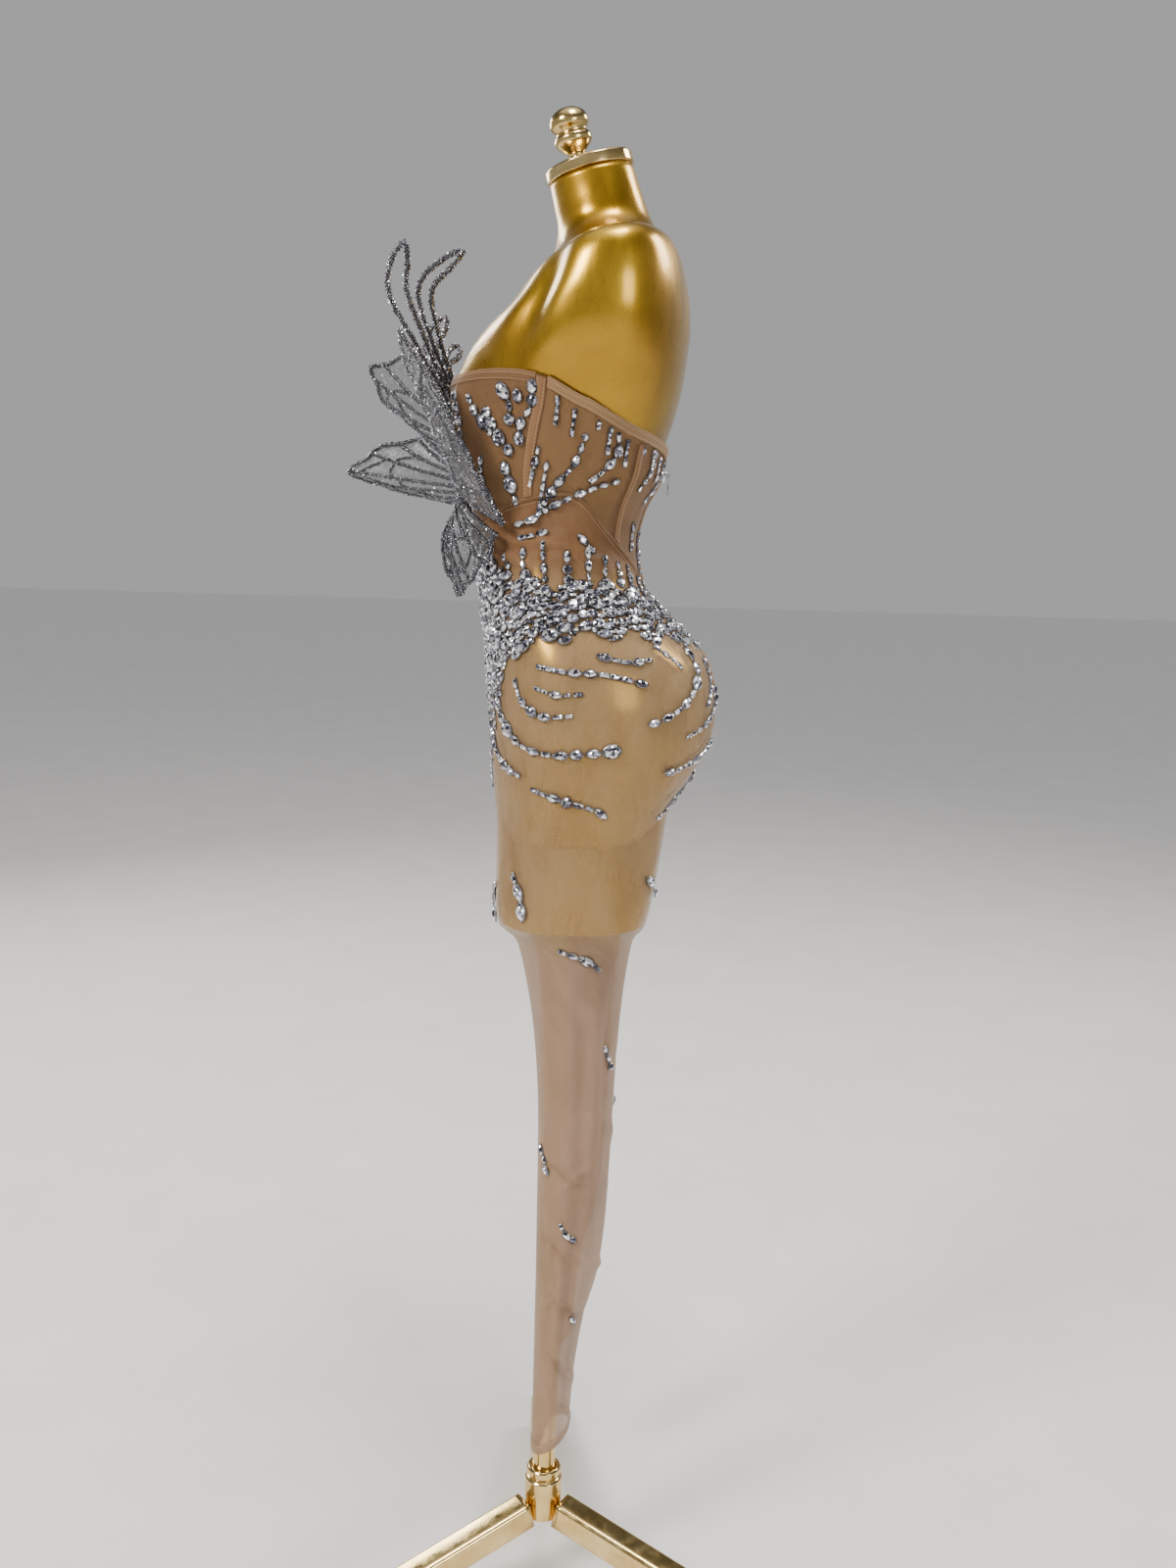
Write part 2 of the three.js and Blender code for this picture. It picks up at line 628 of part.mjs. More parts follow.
// The tapes have rows where the panels below them have theirs, so they lie evenly on both.
function zipTapeGeometry() {
  const waist = at(WAIST_SEAM, 'angle', 180).z;
  const bodice = steps(BODICE_ROWS, at(TOP_EDGE, 'angle', 180).z, waist);
  const hip = steps(HIP_ROWS, waist - LAY_GAP, crotchLevel(1));
  const heights = [...bodice, ...hip].filter(z => z < ZIP.top && z > ZIP.bottom);
  const rows = heights.map(z => [ZIP.width, ZIP.width / 2, SEAM_GAP].map(x => (
    { key: -x, angle: backAngle(x, z), z }
  )));
  return stripGeometry(rows, ZIP.tape, true);
}

function box(width, depth, height, x, y, z) {
  return new THREE.BoxGeometry(width, depth, height).translate(x, y, z);
}

function crossBar(radius, length, y, z, sides = 16) {
  return new THREE.CylinderGeometry(radius, radius, length, sides).rotateZ(Math.PI / 2).translate(0, y, z);
}

function join(...geometries) {
  return fromSolid(geometries.map(toSolid).reduce((sum, solid) => sum.add(solid)));
}

const SLIDER = {
  width: 8.6, height: 11, thickness: 2.4, pinY: 4.9, pinZ: 2, pinRadius: 0.8, lugInner: 2.7, lugOuter: 3.9,
};
const PULL = { knuckle: 1.95, hole: 1.15, width: 4.6, tipWidth: 6.6, length: 23, thickness: 1.2 };

// A flat shape that faces outward from the back, from y = 0 to its thickness.
function plate(outline, thickness) {
  const options = { depth: thickness, bevelEnabled: false, curveSegments: 5 };
  const geometry = new THREE.ExtrudeGeometry(outline, options);
  return geometry.rotateX(Math.PI / 2).translate(0, thickness, 0);
}

// The slider's body is a shield with two lugs and a pin that the pull tab turns on.
function sliderGeometry() {
  const w = SLIDER.width / 2;
  const h = SLIDER.height / 2;
  const outline = new THREE.Shape();
  outline.moveTo(-w * 0.55, -h);
  outline.quadraticCurveTo(-w, 0, -w, h * 0.5);
  outline.quadraticCurveTo(-w, h, -w * 0.5, h);
  outline.lineTo(w * 0.5, h);
  outline.quadraticCurveTo(w, h, w, h * 0.5);
  outline.quadraticCurveTo(w, 0, w * 0.55, -h);
  outline.closePath();
  const lugWidth = SLIDER.lugOuter - SLIDER.lugInner;
  const lugX = (SLIDER.lugOuter + SLIDER.lugInner) / 2;
  const lugFoot = SLIDER.thickness / 2;
  const lugDepth = SLIDER.pinY + 1.5 - lugFoot;
  const lug = x => box(lugWidth, lugDepth, 3.6, x, lugFoot + lugDepth / 2, SLIDER.pinZ);
  const pin = crossBar(SLIDER.pinRadius, 2 * lugX, SLIDER.pinY, SLIDER.pinZ);
  return join(plate(outline, SLIDER.thickness), lug(-lugX), lug(lugX), pin);
}

// The pull tab hangs from the pin, which is at its own origin.
function pullGeometry() {
  const w = PULL.width / 2;
  const tip = PULL.tipWidth / 2;
  const outline = new THREE.Shape();
  outline.moveTo(-w * 0.8, 0);
  outline.lineTo(-w * 0.55, -PULL.length * 0.4);
  outline.lineTo(-tip, -PULL.length * 0.62);
  outline.lineTo(-tip, -PULL.length * 0.88);
  outline.quadraticCurveTo(-tip, -PULL.length, 0, -PULL.length);
  outline.quadraticCurveTo(tip, -PULL.length, tip, -PULL.length * 0.88);
  outline.lineTo(tip, -PULL.length * 0.62);
  outline.lineTo(w * 0.55, -PULL.length * 0.4);
  outline.lineTo(w * 0.8, 0);
  outline.closePath();
  const tab = plate(outline, PULL.thickness).translate(0, -PULL.thickness / 2, 0);
  const knuckle = toSolid(crossBar(PULL.knuckle, PULL.width, 0, 0));
  const hole = toSolid(crossBar(PULL.hole, PULL.width + 2, 0, 0));
  return fromSolid(toSolid(tab).add(knuckle).subtract(hole));
}

// The butterfly's body is a low mound along the centre front. Grown by a gap, it trims the wings' roots.
function butterflyBody(grow) {
  const { halfWidth, top, bottom, gap, edge, crown, taper, bend } = BUTTERFLY_BODY;
  const base = WALL + gap;
  const net = new Net();
  const rows = steps(10, -1, 1).map(v => steps(4, -1, 1).map(u => {
    const z = lerp(top + grow, bottom - grow, (v + 1) / 2);
    const narrow = 1 - taper * v * v * v * v;
    const x = u * (halfWidth + grow) * narrow;
    const angle = Math.sign(x) * Math.asin((Math.abs(x) / at(TORSO, 'level', z).width) ** bend);
    const mound = Math.sqrt(Math.max(0, 1 - u * u)) * (1 - v ** 6);
    return torsoSpot(u, angle, z, base - grow, base + grow + edge + crown * mound);
  }));
  net.bands(rows);
  return net.wall();
}

// A wing runs from a short root line inside the butterfly's body out to its scalloped margin.
function wingGeometry(wing, trim) {
  const side = Math.sign(wing.margin[0][0]);
  const margin = new THREE.CatmullRomCurve3(wing.margin.map(p => new THREE.Vector3(...p)));
  const { spokes, rings, rootX, rootY, back, front, vein, notch } = WING_SHEET;
  const forward = new THREE.Vector3(0, -1, 0);
  const rows = steps(spokes).map((v, spoke) => {
    const rootZ = lerp(wing.rootZ[0], wing.rootZ[1], v);
    const root = torsoPoint(0, rootZ);
    root.y -= standOff(0, rootZ) + WALL + LAY_GAP + rootY;
    root.x = side * rootX;
    const tip = root.clone().lerp(margin.getPoint(v), spoke % 2 === 0 ? 1 : notch);
    return steps(rings).map((u, ring) => {
      const cup = wing.cup * Math.sin(Math.PI * u ** 0.8);
      const place = root.clone().lerp(tip, u).addScaledVector(forward, cup);
      const veined = spoke % 2 === 0 || ring >= rings - 1;
      return spot(side * u, place, back, veined ? vein : front);
    });
  });
  const net = new Net();
  net.bands(side > 0 ? rows : rows.map(row => [...row].reverse()));
  return fromSolid(largest(toSolid(net.wall()).subtract(trim)));
}

function largest(solid) {
  return solid.decompose().reduce((best, piece) => (piece.volume() > best.volume() ? piece : best));
}

// A feeler is a narrow loop of beaded wire: out along one side, round its tip and back.
function feelerGeometry(feeler, trim) {
  const spine = new THREE.CatmullRomCurve3(feeler.spine.map(p => new THREE.Vector3(...p)));
  const { radius, rootHalf, count, sides } = FEELER_WIRE;
  const outward = [0, 0.15, 0.4, 0.65, 0.88, 1];
  const swell = [rootHalf, rootHalf, feeler.width * 0.6, feeler.width, feeler.width * 0.8, 0];
  const sideOf = sign => outward.map((t, i) => {
    const across = spine.getTangent(t).cross(new THREE.Vector3(1, 0, 0)).normalize();
    return spine.getPoint(t).addScaledVector(across, sign * swell[i]);
  });
  const path = new THREE.CatmullRomCurve3([...sideOf(1), ...sideOf(-1).reverse().slice(1)], true);
  return fromSolid(largest(toSolid(loopGeometry(path, radius, count, sides)).subtract(trim)));
}

function loopGeometry(path, radius, count, sides) {
  const frames = path.computeFrenetFrames(count, true);
  const points = [];
  const faces = [];
  for (let i = 0; i < count; i += 1) {
    const centre = path.getPointAt(i / count);
    for (let j = 0; j < sides; j += 1) {
      const angle = 2 * Math.PI * j / sides;
      points.push(centre.clone().addScaledVector(frames.normals[i], radius * Math.cos(angle))
        .addScaledVector(frames.binormals[i], radius * Math.sin(angle)));
      const next = (i + 1) % count;
      const a = i * sides + j;
      const b = i * sides + (j + 1) % sides;
      const c = next * sides + (j + 1) % sides;
      const d = next * sides + j;
      faces.push([a, b, c], [a, c, d]);
    }
  }
  return geometryFrom(points, faces);
}

// Turns a profile of radius and height pairs round the vertical axis.
function lathe(profile, sides) {
  const points = profile.map(([radius, height]) => new THREE.Vector2(radius, height));
  return new THREE.LatheGeometry(points, sides).rotateX(Math.PI / 2);
}

function neckCapGeometry() {
  const r = NECK.radius;
  const h = NECK.capHeight;
  return lathe([[0, 0], [r - 1, 0], [r, 1], [r, h - 3], [r - 1.5, h - 1.2], [24, h], [0, h]], 24);
}

function finialGeometry() {
  const neck = [[0, 0], [13, 0], [13, 3], [8, 6], [9, 10]];
  const lowBall = [[15, 15], [19, 20], [19.5, 25], [15.5, 30]];
  const highBall = [[17, 33], [20, 37], [20, 42], [17.5, 48], [10.5, 53], [0, 54.8]];
  return lathe([...neck, ...lowBall, ...highBall], 16);
}

function poleSleeveGeometry() {
  const inside = POLE.radius + SEAM_GAP;
  const outside = inside + POLE.sleeveWall;
  const [low, high] = POLE.sleeve;
  return lathe([[inside, low], [outside, low], [outside, high], [inside, high], [inside, low]], 20);
}

function hubGeometry() {
  const bore = POLE.radius + SEAM_GAP;
  const floor = POLE.bottom - SEAM_GAP;
  const { radius, bottom, top, collarRadius, collarTop } = HUB;
  const drumTop = [[radius, top - 2], [radius - 2, top]];
  const drum = [[0, bottom], [radius - 2, bottom], [radius, bottom + 2], ...drumTop];
  const collar = [[collarRadius - 3, top + 1], [collarRadius, top + 4], [collarRadius, collarTop - 2]];
  const socket = [[collarRadius - 2, collarTop], [bore, collarTop], [bore, floor], [0, floor]];
  return lathe([...drum, ...collar, ...socket], 20);
}

// A leg of the stand: a bar with rounded upper edges that slopes from the hub to its foot, along +X.
function standLegSolid(grow) {
  const { width, height, reach, slope, hubZ, corner } = STAND_LEG;
  const w = width / 2 + grow;
  const h = height / 2 + grow;
  const outline = new THREE.Shape();
  outline.moveTo(-w, -h);
  outline.lineTo(w, -h);
  outline.lineTo(w, h - corner);
  outline.quadraticCurveTo(w, h, w - corner, h);
  outline.lineTo(-w + corner, h);
  outline.quadraticCurveTo(-w, h, -w, h - corner);
  outline.closePath();
  const length = reach / Math.cos(rad(slope));
  const options = { depth: length, bevelEnabled: false, curveSegments: 4 };
  const bar = new THREE.ExtrudeGeometry(outline, options);
  bar.rotateX(Math.PI / 2).rotateZ(Math.PI / 2).rotateY(rad(slope)).translate(0, 0, hubZ);
  return toSolid(bar);
}

function standLegGeometry() {
  const clear = HUB.radius + SEAM_GAP;
  const hub = toSolid(lathe([[0, 0], [clear, 0], [clear, 200], [0, 200]], 32));
  return fromSolid(largest(standLegSolid(0).subtract(hub)));
}

function footGeometry() {
  const { radius, radial, height } = FOOT;
  const pad = lathe([[0, 0], [radius - 1, 0], [radius, 1], [radius, height], [0, height]], 16);
  pad.translate(radial, 0, 0);
  return fromSolid(lowest(toSolid(pad).subtract(standLegSolid(SEAM_GAP))));
}

function lowest(solid) {
  const base = piece => piece.boundingBox().min[2];
  return solid.decompose().reduce((best, piece) => (base(piece) < base(best) ? piece : best));
}

// The form and its stand
add('form_torso', formGeometry(), 'gold');
const neckTop = new THREE.Group();
neckTop.position.set(0, NECK.centreY, NECK.z + NECK.gap);
neckTop.rotation.x = rad(NECK.tilt);
body.add(neckTop);
neckTop.add(add('neck_cap', neckCapGeometry(), 'brass'));
const finial = add('finial', finialGeometry(), 'brass');
finial.position.set(0, NECK.finialY, NECK.capHeight + SEAM_GAP);
neckTop.add(finial);

const stand = new THREE.Group();
stand.position.x = POLE.x;
body.add(stand);
const poleLength = RIM_Z - SEAM_GAP - POLE.bottom;
const pole = new THREE.CylinderGeometry(POLE.radius, POLE.radius, poleLength, 20).rotateX(Math.PI / 2);
stand.add(add('pole', pole.translate(0, 0, POLE.bottom + poleLength / 2), 'brass'));
stand.add(add('pole_sleeve', poleSleeveGeometry(), 'brass'));
stand.add(add('hub', hubGeometry(), 'brass'));
STAND_LEGS.forEach((azimuth, i) => {
  const turned = new THREE.Group();
  turned.rotation.z = rad(azimuth);
  turned.add(add(`stand_leg_${i + 1}`, standLegGeometry(), 'brass'));
  turned.add(add(`foot_${i + 1}`, footGeometry(), 'rubber'));
  stand.add(turned);
});

// The garment
add('bodice_front', panelGeometry(-SEAMS.front + SEAMS.half, SEAMS.front - SEAMS.half, false), 'mesh');
const sidePanel = panelGeometry(SEAMS.front + SEAMS.half, SEAMS.back - SEAMS.half, false);
const backPanel = panelGeometry(SEAMS.back + SEAMS.half, 180, true);
const halves = {
  bodice_side: [sidePanel, 'mesh'],
  bodice_back: [backPanel, 'mesh'],
  channel_front: [channelGeometry(SEAMS.front, CHANNEL.dropFront), 'binding'],
  channel_back: [channelGeometry(SEAMS.back, CHANNEL.dropBack), 'binding'],
  binding: [bindingGeometry(), 'binding'],
  zip_tape: [zipTapeGeometry(), 'binding'],
};
for (const [name, [geometry, look]] of Object.entries(halves)) {
  add(`${name}_left`, geometry, look);
  add(`${name}_right`, mirrored(geometry), look);
}
add('lower_left', lowerGeometry('left'), 'mesh');
add('lower_right', lowerGeometry('right'), 'mesh');

// The zip's slider and pull tab, square to the back where the slider sits
const seat = torsoPoint(Math.PI, ZIP.sliderZ);
const above = torsoPoint(Math.PI, ZIP.sliderZ + 6);
const lean = Math.atan2(above.y - seat.y, above.z - seat.z);
const slider = new THREE.Group();
const onTape = standOff(Math.PI, ZIP.sliderZ) + WALL + LAY_GAP + ZIP.tape + ZIP.sliderGap;
slider.position.set(0, seat.y + onTape, ZIP.sliderZ);
slider.rotation.x = -lean;
body.add(slider);
slider.add(add('zip_slider', sliderGeometry(), 'silver'));
const hanger = new THREE.Group();
hanger.position.set(0, SLIDER.pinY, SLIDER.pinZ);
hanger.rotation.x = lean;
slider.add(hanger);
hanger.add(add('zip_pull', pullGeometry(), 'silver'));

// The butterfly
add('butterfly_body', butterflyBody(0), 'silver');
const trim = toSolid(butterflyBody(SEAM_GAP));
for (const wing of WINGS) add(wing.name, wingGeometry(wing, trim), 'organza');
for (const feeler of FEELERS) add(feeler.name, feelerGeometry(feeler, trim), 'silver');

// The origin is on the floor below the middle of everything
body.updateMatrixWorld(true);
const whole = new THREE.Box3().setFromObject(body, true);
body.position.set(-(whole.min.x + whole.max.x) / 2, -(whole.min.y + whole.max.y) / 2, -whole.min.z);

export default body;
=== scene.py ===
import math
import random

import bpy
import numpy as np
from mathutils import Matrix, Vector


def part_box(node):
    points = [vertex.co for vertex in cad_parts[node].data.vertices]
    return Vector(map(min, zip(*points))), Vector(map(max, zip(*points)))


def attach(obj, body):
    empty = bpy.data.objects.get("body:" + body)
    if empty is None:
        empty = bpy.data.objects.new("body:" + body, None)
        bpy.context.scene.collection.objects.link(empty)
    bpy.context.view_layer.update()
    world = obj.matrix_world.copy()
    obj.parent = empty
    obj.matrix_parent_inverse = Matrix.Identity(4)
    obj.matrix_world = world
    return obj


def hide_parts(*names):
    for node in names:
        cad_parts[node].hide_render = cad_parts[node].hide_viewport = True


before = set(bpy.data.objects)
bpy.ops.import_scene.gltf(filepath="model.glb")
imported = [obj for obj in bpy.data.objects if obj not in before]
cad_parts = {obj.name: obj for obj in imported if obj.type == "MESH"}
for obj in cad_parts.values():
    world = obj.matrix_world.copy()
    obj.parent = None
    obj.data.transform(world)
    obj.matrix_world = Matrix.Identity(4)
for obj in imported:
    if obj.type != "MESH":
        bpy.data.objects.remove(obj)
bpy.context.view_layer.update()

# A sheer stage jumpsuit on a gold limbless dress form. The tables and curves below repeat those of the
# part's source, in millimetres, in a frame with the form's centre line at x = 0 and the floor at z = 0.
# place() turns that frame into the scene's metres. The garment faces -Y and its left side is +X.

SUIT = "jumpsuit_on_form"
MM = 0.001
POLE_X = 84.0
POLE_RADIUS = 12.5
WALL = 1.2
SEAM_GAP = 0.3
LAY_GAP = 0.5
FORM_INSET = 1.8
RIM_Z = 757.0
RIM_FILLET = 6.0
CROTCH_Z = 850.0
CROTCH_RISE = 26.0
CORNER_ANGLE = 45.0
HEM_Z = {"left": 172.0, "right": 192.0}
HEM_SLANT = {"left": 14.0, "right": 18.0}
SEAM_FRONT = 71.0
SEAM_BACK = 132.0
CHANNEL_WIDTH = 4.8
NECK_Z = 1510.0
NECK_Y = 13.0
NECK_RADIUS = 45.0
NECK_TILT = 16.2
CAP_HEIGHT = 13.2
FINIAL_Y = -9.0

SIGNS = {"left": 1, "right": -1}
pole_low, pole_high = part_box("pole")
SHIFT_X = (pole_low[0] + pole_high[0]) / 2 / MM - POLE_X
SHIFT_Y = (pole_low[1] + pole_high[1]) / 2 / MM


def place(point):
    return ((point[0] + SHIFT_X) * MM, (point[1] + SHIFT_Y) * MM, point[2] * MM)


# Sections of the cloth's inner face. Torso columns: level, width, front, back, side, power, and the
# rises that tip a section's front, side and back.
TORSO = [
    (850, 159, -70, 108, 16, 2.4, 0, 0, 0),
    (880, 163, -71, 119, 17, 2.4, 0, 0, 0),
    (910, 168, -73, 138, 18, 2.35, 0, 0, 0),
    (940, 171, -74, 154, 18, 2.3, 0, 0, 0),
    (970, 173, -76, 159, 18, 2.3, 0, 0, 0),
    (1000, 172, -78, 156, 18, 2.3, 0, 0, 0),
    (1030, 166, -80, 144, 16, 2.3, 0, 0, 0),
    (1060, 152, -84, 114, 10, 2.3, 0, 0, 0),
    (1090, 134, -87, 84, 2, 2.25, 0, 0, 0),
    (1120, 120, -90, 73, -4, 2.2, 0, 0, 0),
    (1150, 115, -93, 70, -6, 2.2, 0, 0, 0),
    (1180, 119, -98, 77, -4, 2.2, 0, 0, 0),
    (1210, 127, -106, 92, 0, 2.2, 0, 0, 0),
    (1240, 138, -106, 98, 6, 2.2, 0, 0, 0),
    (1270, 148, -105, 107, 14, 2.2, 0, 0, 0),
    (1300, 161, -107, 114, 22, 2.25, 0, 0, 0),
    (1330, 176, -102, 118, 28, 2.3, 0, 0, 0),
    (1355, 184, -89, 120, 32, 2.3, -3, 4, 2),
    (1380, 185, -68, 117, 35, 2.25, -8, 14, 8),
    (1400, 176, -51, 110, 37, 2.2, -8, 26, 16),
    (1415, 150, -39, 103, 38, 2.1, -9, 22, 19),
    (1428, 112, -29, 97, 38, 2.05, -8, 12, 17),
    (1442, 76, -23, 88, 36, 2, -4, 7, 11),
    (1460, 54, -21, 78, 30, 2, -4, 3, 7),
    (1484, 48, -25, 67, 22, 2, -8, 1, 9),
    (1510, 45, -30, 56, 13, 2, -12.5, 0, 12.5),
]
# Leg columns: level, centre, width, front, back, side, power.
LEG = [
    (140, 85, 29, -13.6, 22, 5, 2),
    (190, 85, 31, -13.6, 26, 7, 2),
    (250, 85, 34, -13.6, 29, 9, 2),
    (320, 85, 37, -13.6, 39, 12, 2),
    (370, 85, 40, -13.6, 52, 16, 2),
    (430, 85, 43, -14, 59, 20, 2),
    (500, 84, 46, -14.5, 62, 22, 2),
    (570, 84, 49, -16, 64, 22, 2),
    (640, 84, 53, -22, 67, 22, 2),
    (690, 84, 57, -30, 71, 20, 2.1),
    (735, 84, 62, -41, 77, 17, 2.2),
    (748, 84, 67, -50, 82, 16, 2.3),
    (757, 84, 71, -61, 90, 14, 2.4),
    (800, 84, 72, -65, 98, 14, 2.4),
    (880, 84, 73, -68, 112, 14, 2.4),
]
# Angle round from the centre front in degrees, and height.
TOP_EDGE = [(0, 1287), (22, 1301), (45, 1305), (71, 1298), (90, 1278), (115, 1259), (136, 1250), (180, 1237)]
WAIST_SEAM = [(0, 1150), (35, 1166), (70, 1184), (96, 1188), (122, 1154), (152, 1122), (180, 1100)]
# Drag folds in the source: from angle and z, to angle and z, height, half width.
DRAG_FOLDS = [(48, 1150, 132, 1108, 3.2, 9), (40, 1132, 108, 1122, 2.6, 8), (56, 1160, 96, 1140, 2.2, 7)]
# Long folds of the legs in the source: leg, angle, depth, spread, top, bottom.
LEG_FOLDS = [
    ("left", 66, 3.6, 15, 742, 330), ("left", 104, 5.2, 14, 748, 260), ("left", 142, 4.4, 13, 738, 470),
    ("left", 196, 5.0, 15, 744, 380), ("left", 246, 5.4, 16, 740, 300), ("left", 292, 3.4, 13, 735, 420),
    ("right", 34, 4.2, 15, 744, 410), ("right", 82, 5.6, 14, 748, 280), ("right", 126, 4.6, 15, 736, 340),
    ("right", 176, 5.4, 16, 746, 300), ("right", 228, 4.8, 14, 738, 450), ("right", 276, 5.2, 16, 742, 270),
]
BUST = {"x": 66, "z": 1276, "depth": 22, "across": 42, "up": 46}
SHOULDER_CREASE = {"angle": 56, "z": 1362, "depth": 11, "spread": 9, "up": 44, "share": 0.7}
WAIST_STAND_OFF = {"z": 1142, "depth": 5.5, "up": 40}


def clamp(value, low=0.0, high=1.0):
    return max(low, min(high, value))


def lerp(a, b, t):
    return a + (b - a) * t


def smoothstep(value, low, high):
    t = clamp((value - low) / (high - low))
    return t * t * (3 - 2 * t)


def bell(distance, spread):
    return math.exp(-((distance / spread) ** 2))


def at(rows, value):
    """A table's values between its rows, on a smooth curve through them. The first column is the key."""
    i = 0
    while i < len(rows) - 2 and rows[i + 1][0] < value:
        i += 1
    before, a, b, after = rows[max(i - 1, 0)], rows[i], rows[i + 1], rows[min(i + 2, len(rows) - 1)]
    span = b[0] - a[0]
    t = clamp((value - a[0]) / span)
    t2, t3 = t * t, t * t * t
    low_share = span / (b[0] - before[0])
    high_share = span / (after[0] - a[0])
    return [value] + [
        (2 * t3 - 3 * t2 + 1) * a[k] + (t3 - 2 * t2 + t) * (b[k] - before[k]) * low_share
        + (3 * t2 - 2 * t3) * b[k] + (t3 - t2) * (after[k] - a[k]) * high_share
        for k in range(1, len(a))
    ]


def section_point(width, front, back, side, power, angle, centre=0.0):
    share = 2 / power
    sine, cosine = math.sin(angle), math.cos(angle)
    depth = (front if cosine >= 0 else back) - side
    return centre + width * math.copysign(abs(sine) ** share, sine), side + depth * abs(cosine) ** share


def torso_point(angle, level):
    _, width, front, back, side, power, rise_front, rise_side, rise_back = at(TORSO, level)
    x, y = section_point(width, front, back, side, power, angle)
    mean = (rise_front + rise_back) / 2
    z = level + (mean + rise_side) / 2 + (rise_front - rise_back) / 2 * math.cos(angle)
    z += (mean - rise_side) / 2 * math.cos(2 * angle)
    frontness = clamp(math.cos(angle) * 3)
    bust = frontness * BUST["depth"] * bell(abs(x) - BUST["x"], BUST["across"])
    y -= bust * bell(level - BUST["z"], BUST["up"])
    fold = SHOULDER_CREASE
    crease = fold["depth"] * bell(abs(angle) - math.radians(fold["angle"]), math.radians(fold["spread"]))
    crease *= bell(level - fold["z"], fold["up"])
    return np.array((x - math.copysign(crease * fold["share"], x), y + crease * fold["share"], z))


def unit(vector):
    return vector / max(np.linalg.norm(vector), 1e-9)


def torso_normal(angle, level):
    nearby = 0.002
    around = torso_point(angle + nearby, level) - torso_point(angle - nearby, level)
    up = torso_point(angle, level + 1) - torso_point(angle, level - 1)
    return unit(np.cross(around, up))


def stand_off(angle, z):
    front = 0.55 + 0.45 * math.cos(angle)
    off = WAIST_STAND_OFF["depth"] * bell(z - WAIST_STAND_OFF["z"], WAIST_STAND_OFF["up"]) * front
    degrees = abs(math.degrees(angle))
    for angle_a, z_a, angle_b, z_b, height, spread in DRAG_FOLDS:
        if angle_a < degrees < angle_b:
            t = (degrees - angle_a) / (angle_b - angle_a)
            ends = math.sin(math.pi * clamp(t, 0.02, 0.98)) ** 0.6
            off += height * ends * bell(z - lerp(z_a, z_b, t), spread)
    return off


def leg_angle(key):
    corner = math.radians(CORNER_ANGLE)
    if key <= 1:
        return -corner + key * (math.pi + 2 * corner)
    return math.pi + corner + (key - 1) * (math.pi - 2 * corner)


def crotch_level(key):
    along = math.cos(math.pi * key) if key <= 1 else 2 * (key - 1.5)
    return CROTCH_Z + CROTCH_RISE * along ** 4


def crotch_point(key):
    if key <= 1:
        return torso_point(math.pi * key, crotch_level(key))
    front = torso_point(0, CROTCH_Z + CROTCH_RISE)
    back = torso_point(math.pi, CROTCH_Z + CROTCH_RISE)
    return np.array((0, lerp(back[1], front[1], key - 1), crotch_level(key)))


def leg_section(angle, level):
    _, centre, width, front, back, side, power = at(LEG, level)
    x, y = section_point(width, front, back, side, power, angle, centre)
    return np.array((x, y, level)), np.array((centre, side, level))


def thigh_point(key, t):
    level = lerp(RIM_Z, crotch_level(key), t)
    low, _ = leg_section(leg_angle(key), level)
    high = crotch_point(key)
    edge = min(key, 1 - key) if key <= 1 else 0
    arch_share = 1 - smoothstep(edge, 0, 0.3)
    share = lerp(smoothstep(t, 0, 1), 1 - math.sqrt(max(0, 1 - t * t)), arch_share)
    return np.array((lerp(low[0], high[0], share), lerp(low[1], high[1], share), level))


def hem_level(leg, angle):
    return HEM_Z[leg] - HEM_SLANT[leg] * math.cos(angle)


def leg_point(leg, key, t):
    angle = leg_angle(key)
    level = lerp(hem_level(leg, angle), RIM_Z, t)
    point, middle = leg_section(angle, level)
    inward = 0.0
    for fold_leg, fold_angle, depth, spread, top, bottom in LEG_FOLDS:
        if fold_leg == leg:
            turn = abs(((angle - math.radians(fold_angle)) / math.pi + 3) % 2 - 1) * 180
            ends = smoothstep(level, bottom - 90, bottom + 60) * (1 - smoothstep(level, top - 60, top + 10))
            inward += depth * bell(turn, spread) * ends
    return middle + (point - middle) * (1 - inward / np.linalg.norm(point - middle))


def top_z(degrees):
    return at(TOP_EDGE, min(abs(degrees), 180))[1]


def seam_z(degrees):
    return at(WAIST_SEAM, min(abs(degrees), 180))[1]


def spline_point(points, t, closed=False):
    """A point on a centripetal Catmull-Rom curve, as the part's source has it."""
    count = len(points)
    p = (count if closed else count - 1) * t
    i = math.floor(p)
    weight = p - i
    if not closed and i >= count - 1:
        i, weight = count - 2, 1.0
    p1 = points[i % count]
    p2 = points[(i + 1) % count]
    p0 = points[(i - 1) % count] if closed or i > 0 else 2 * points[0] - points[1]
    p3 = points[(i + 2) % count] if closed or i + 2 < count else 2 * points[-1] - points[-2]
    d0, d1, d2 = (float(np.dot(b - a, b - a)) ** 0.25 for a, b in ((p0, p1), (p1, p2), (p2, p3)))
    d1 = d1 if d1 > 1e-4 else 1.0
    d0 = d0 if d0 > 1e-4 else d1
    d2 = d2 if d2 > 1e-4 else d1
    t1 = ((p1 - p0) / d0 - (p2 - p0) / (d0 + d1) + (p2 - p1) / d1) * d1
    t2 = ((p2 - p1) / d1 - (p3 - p1) / (d1 + d2) + (p3 - p2) / d2) * d1
    w = weight
    return p1 + t1 * w + (3 * (p2 - p1) - 2 * t1 - t2) * w * w + (2 * (p1 - p2) + t1 + t2) * w ** 3


# Materials. Object coordinates are in metres, and a cloth's UV map is in millimetres.

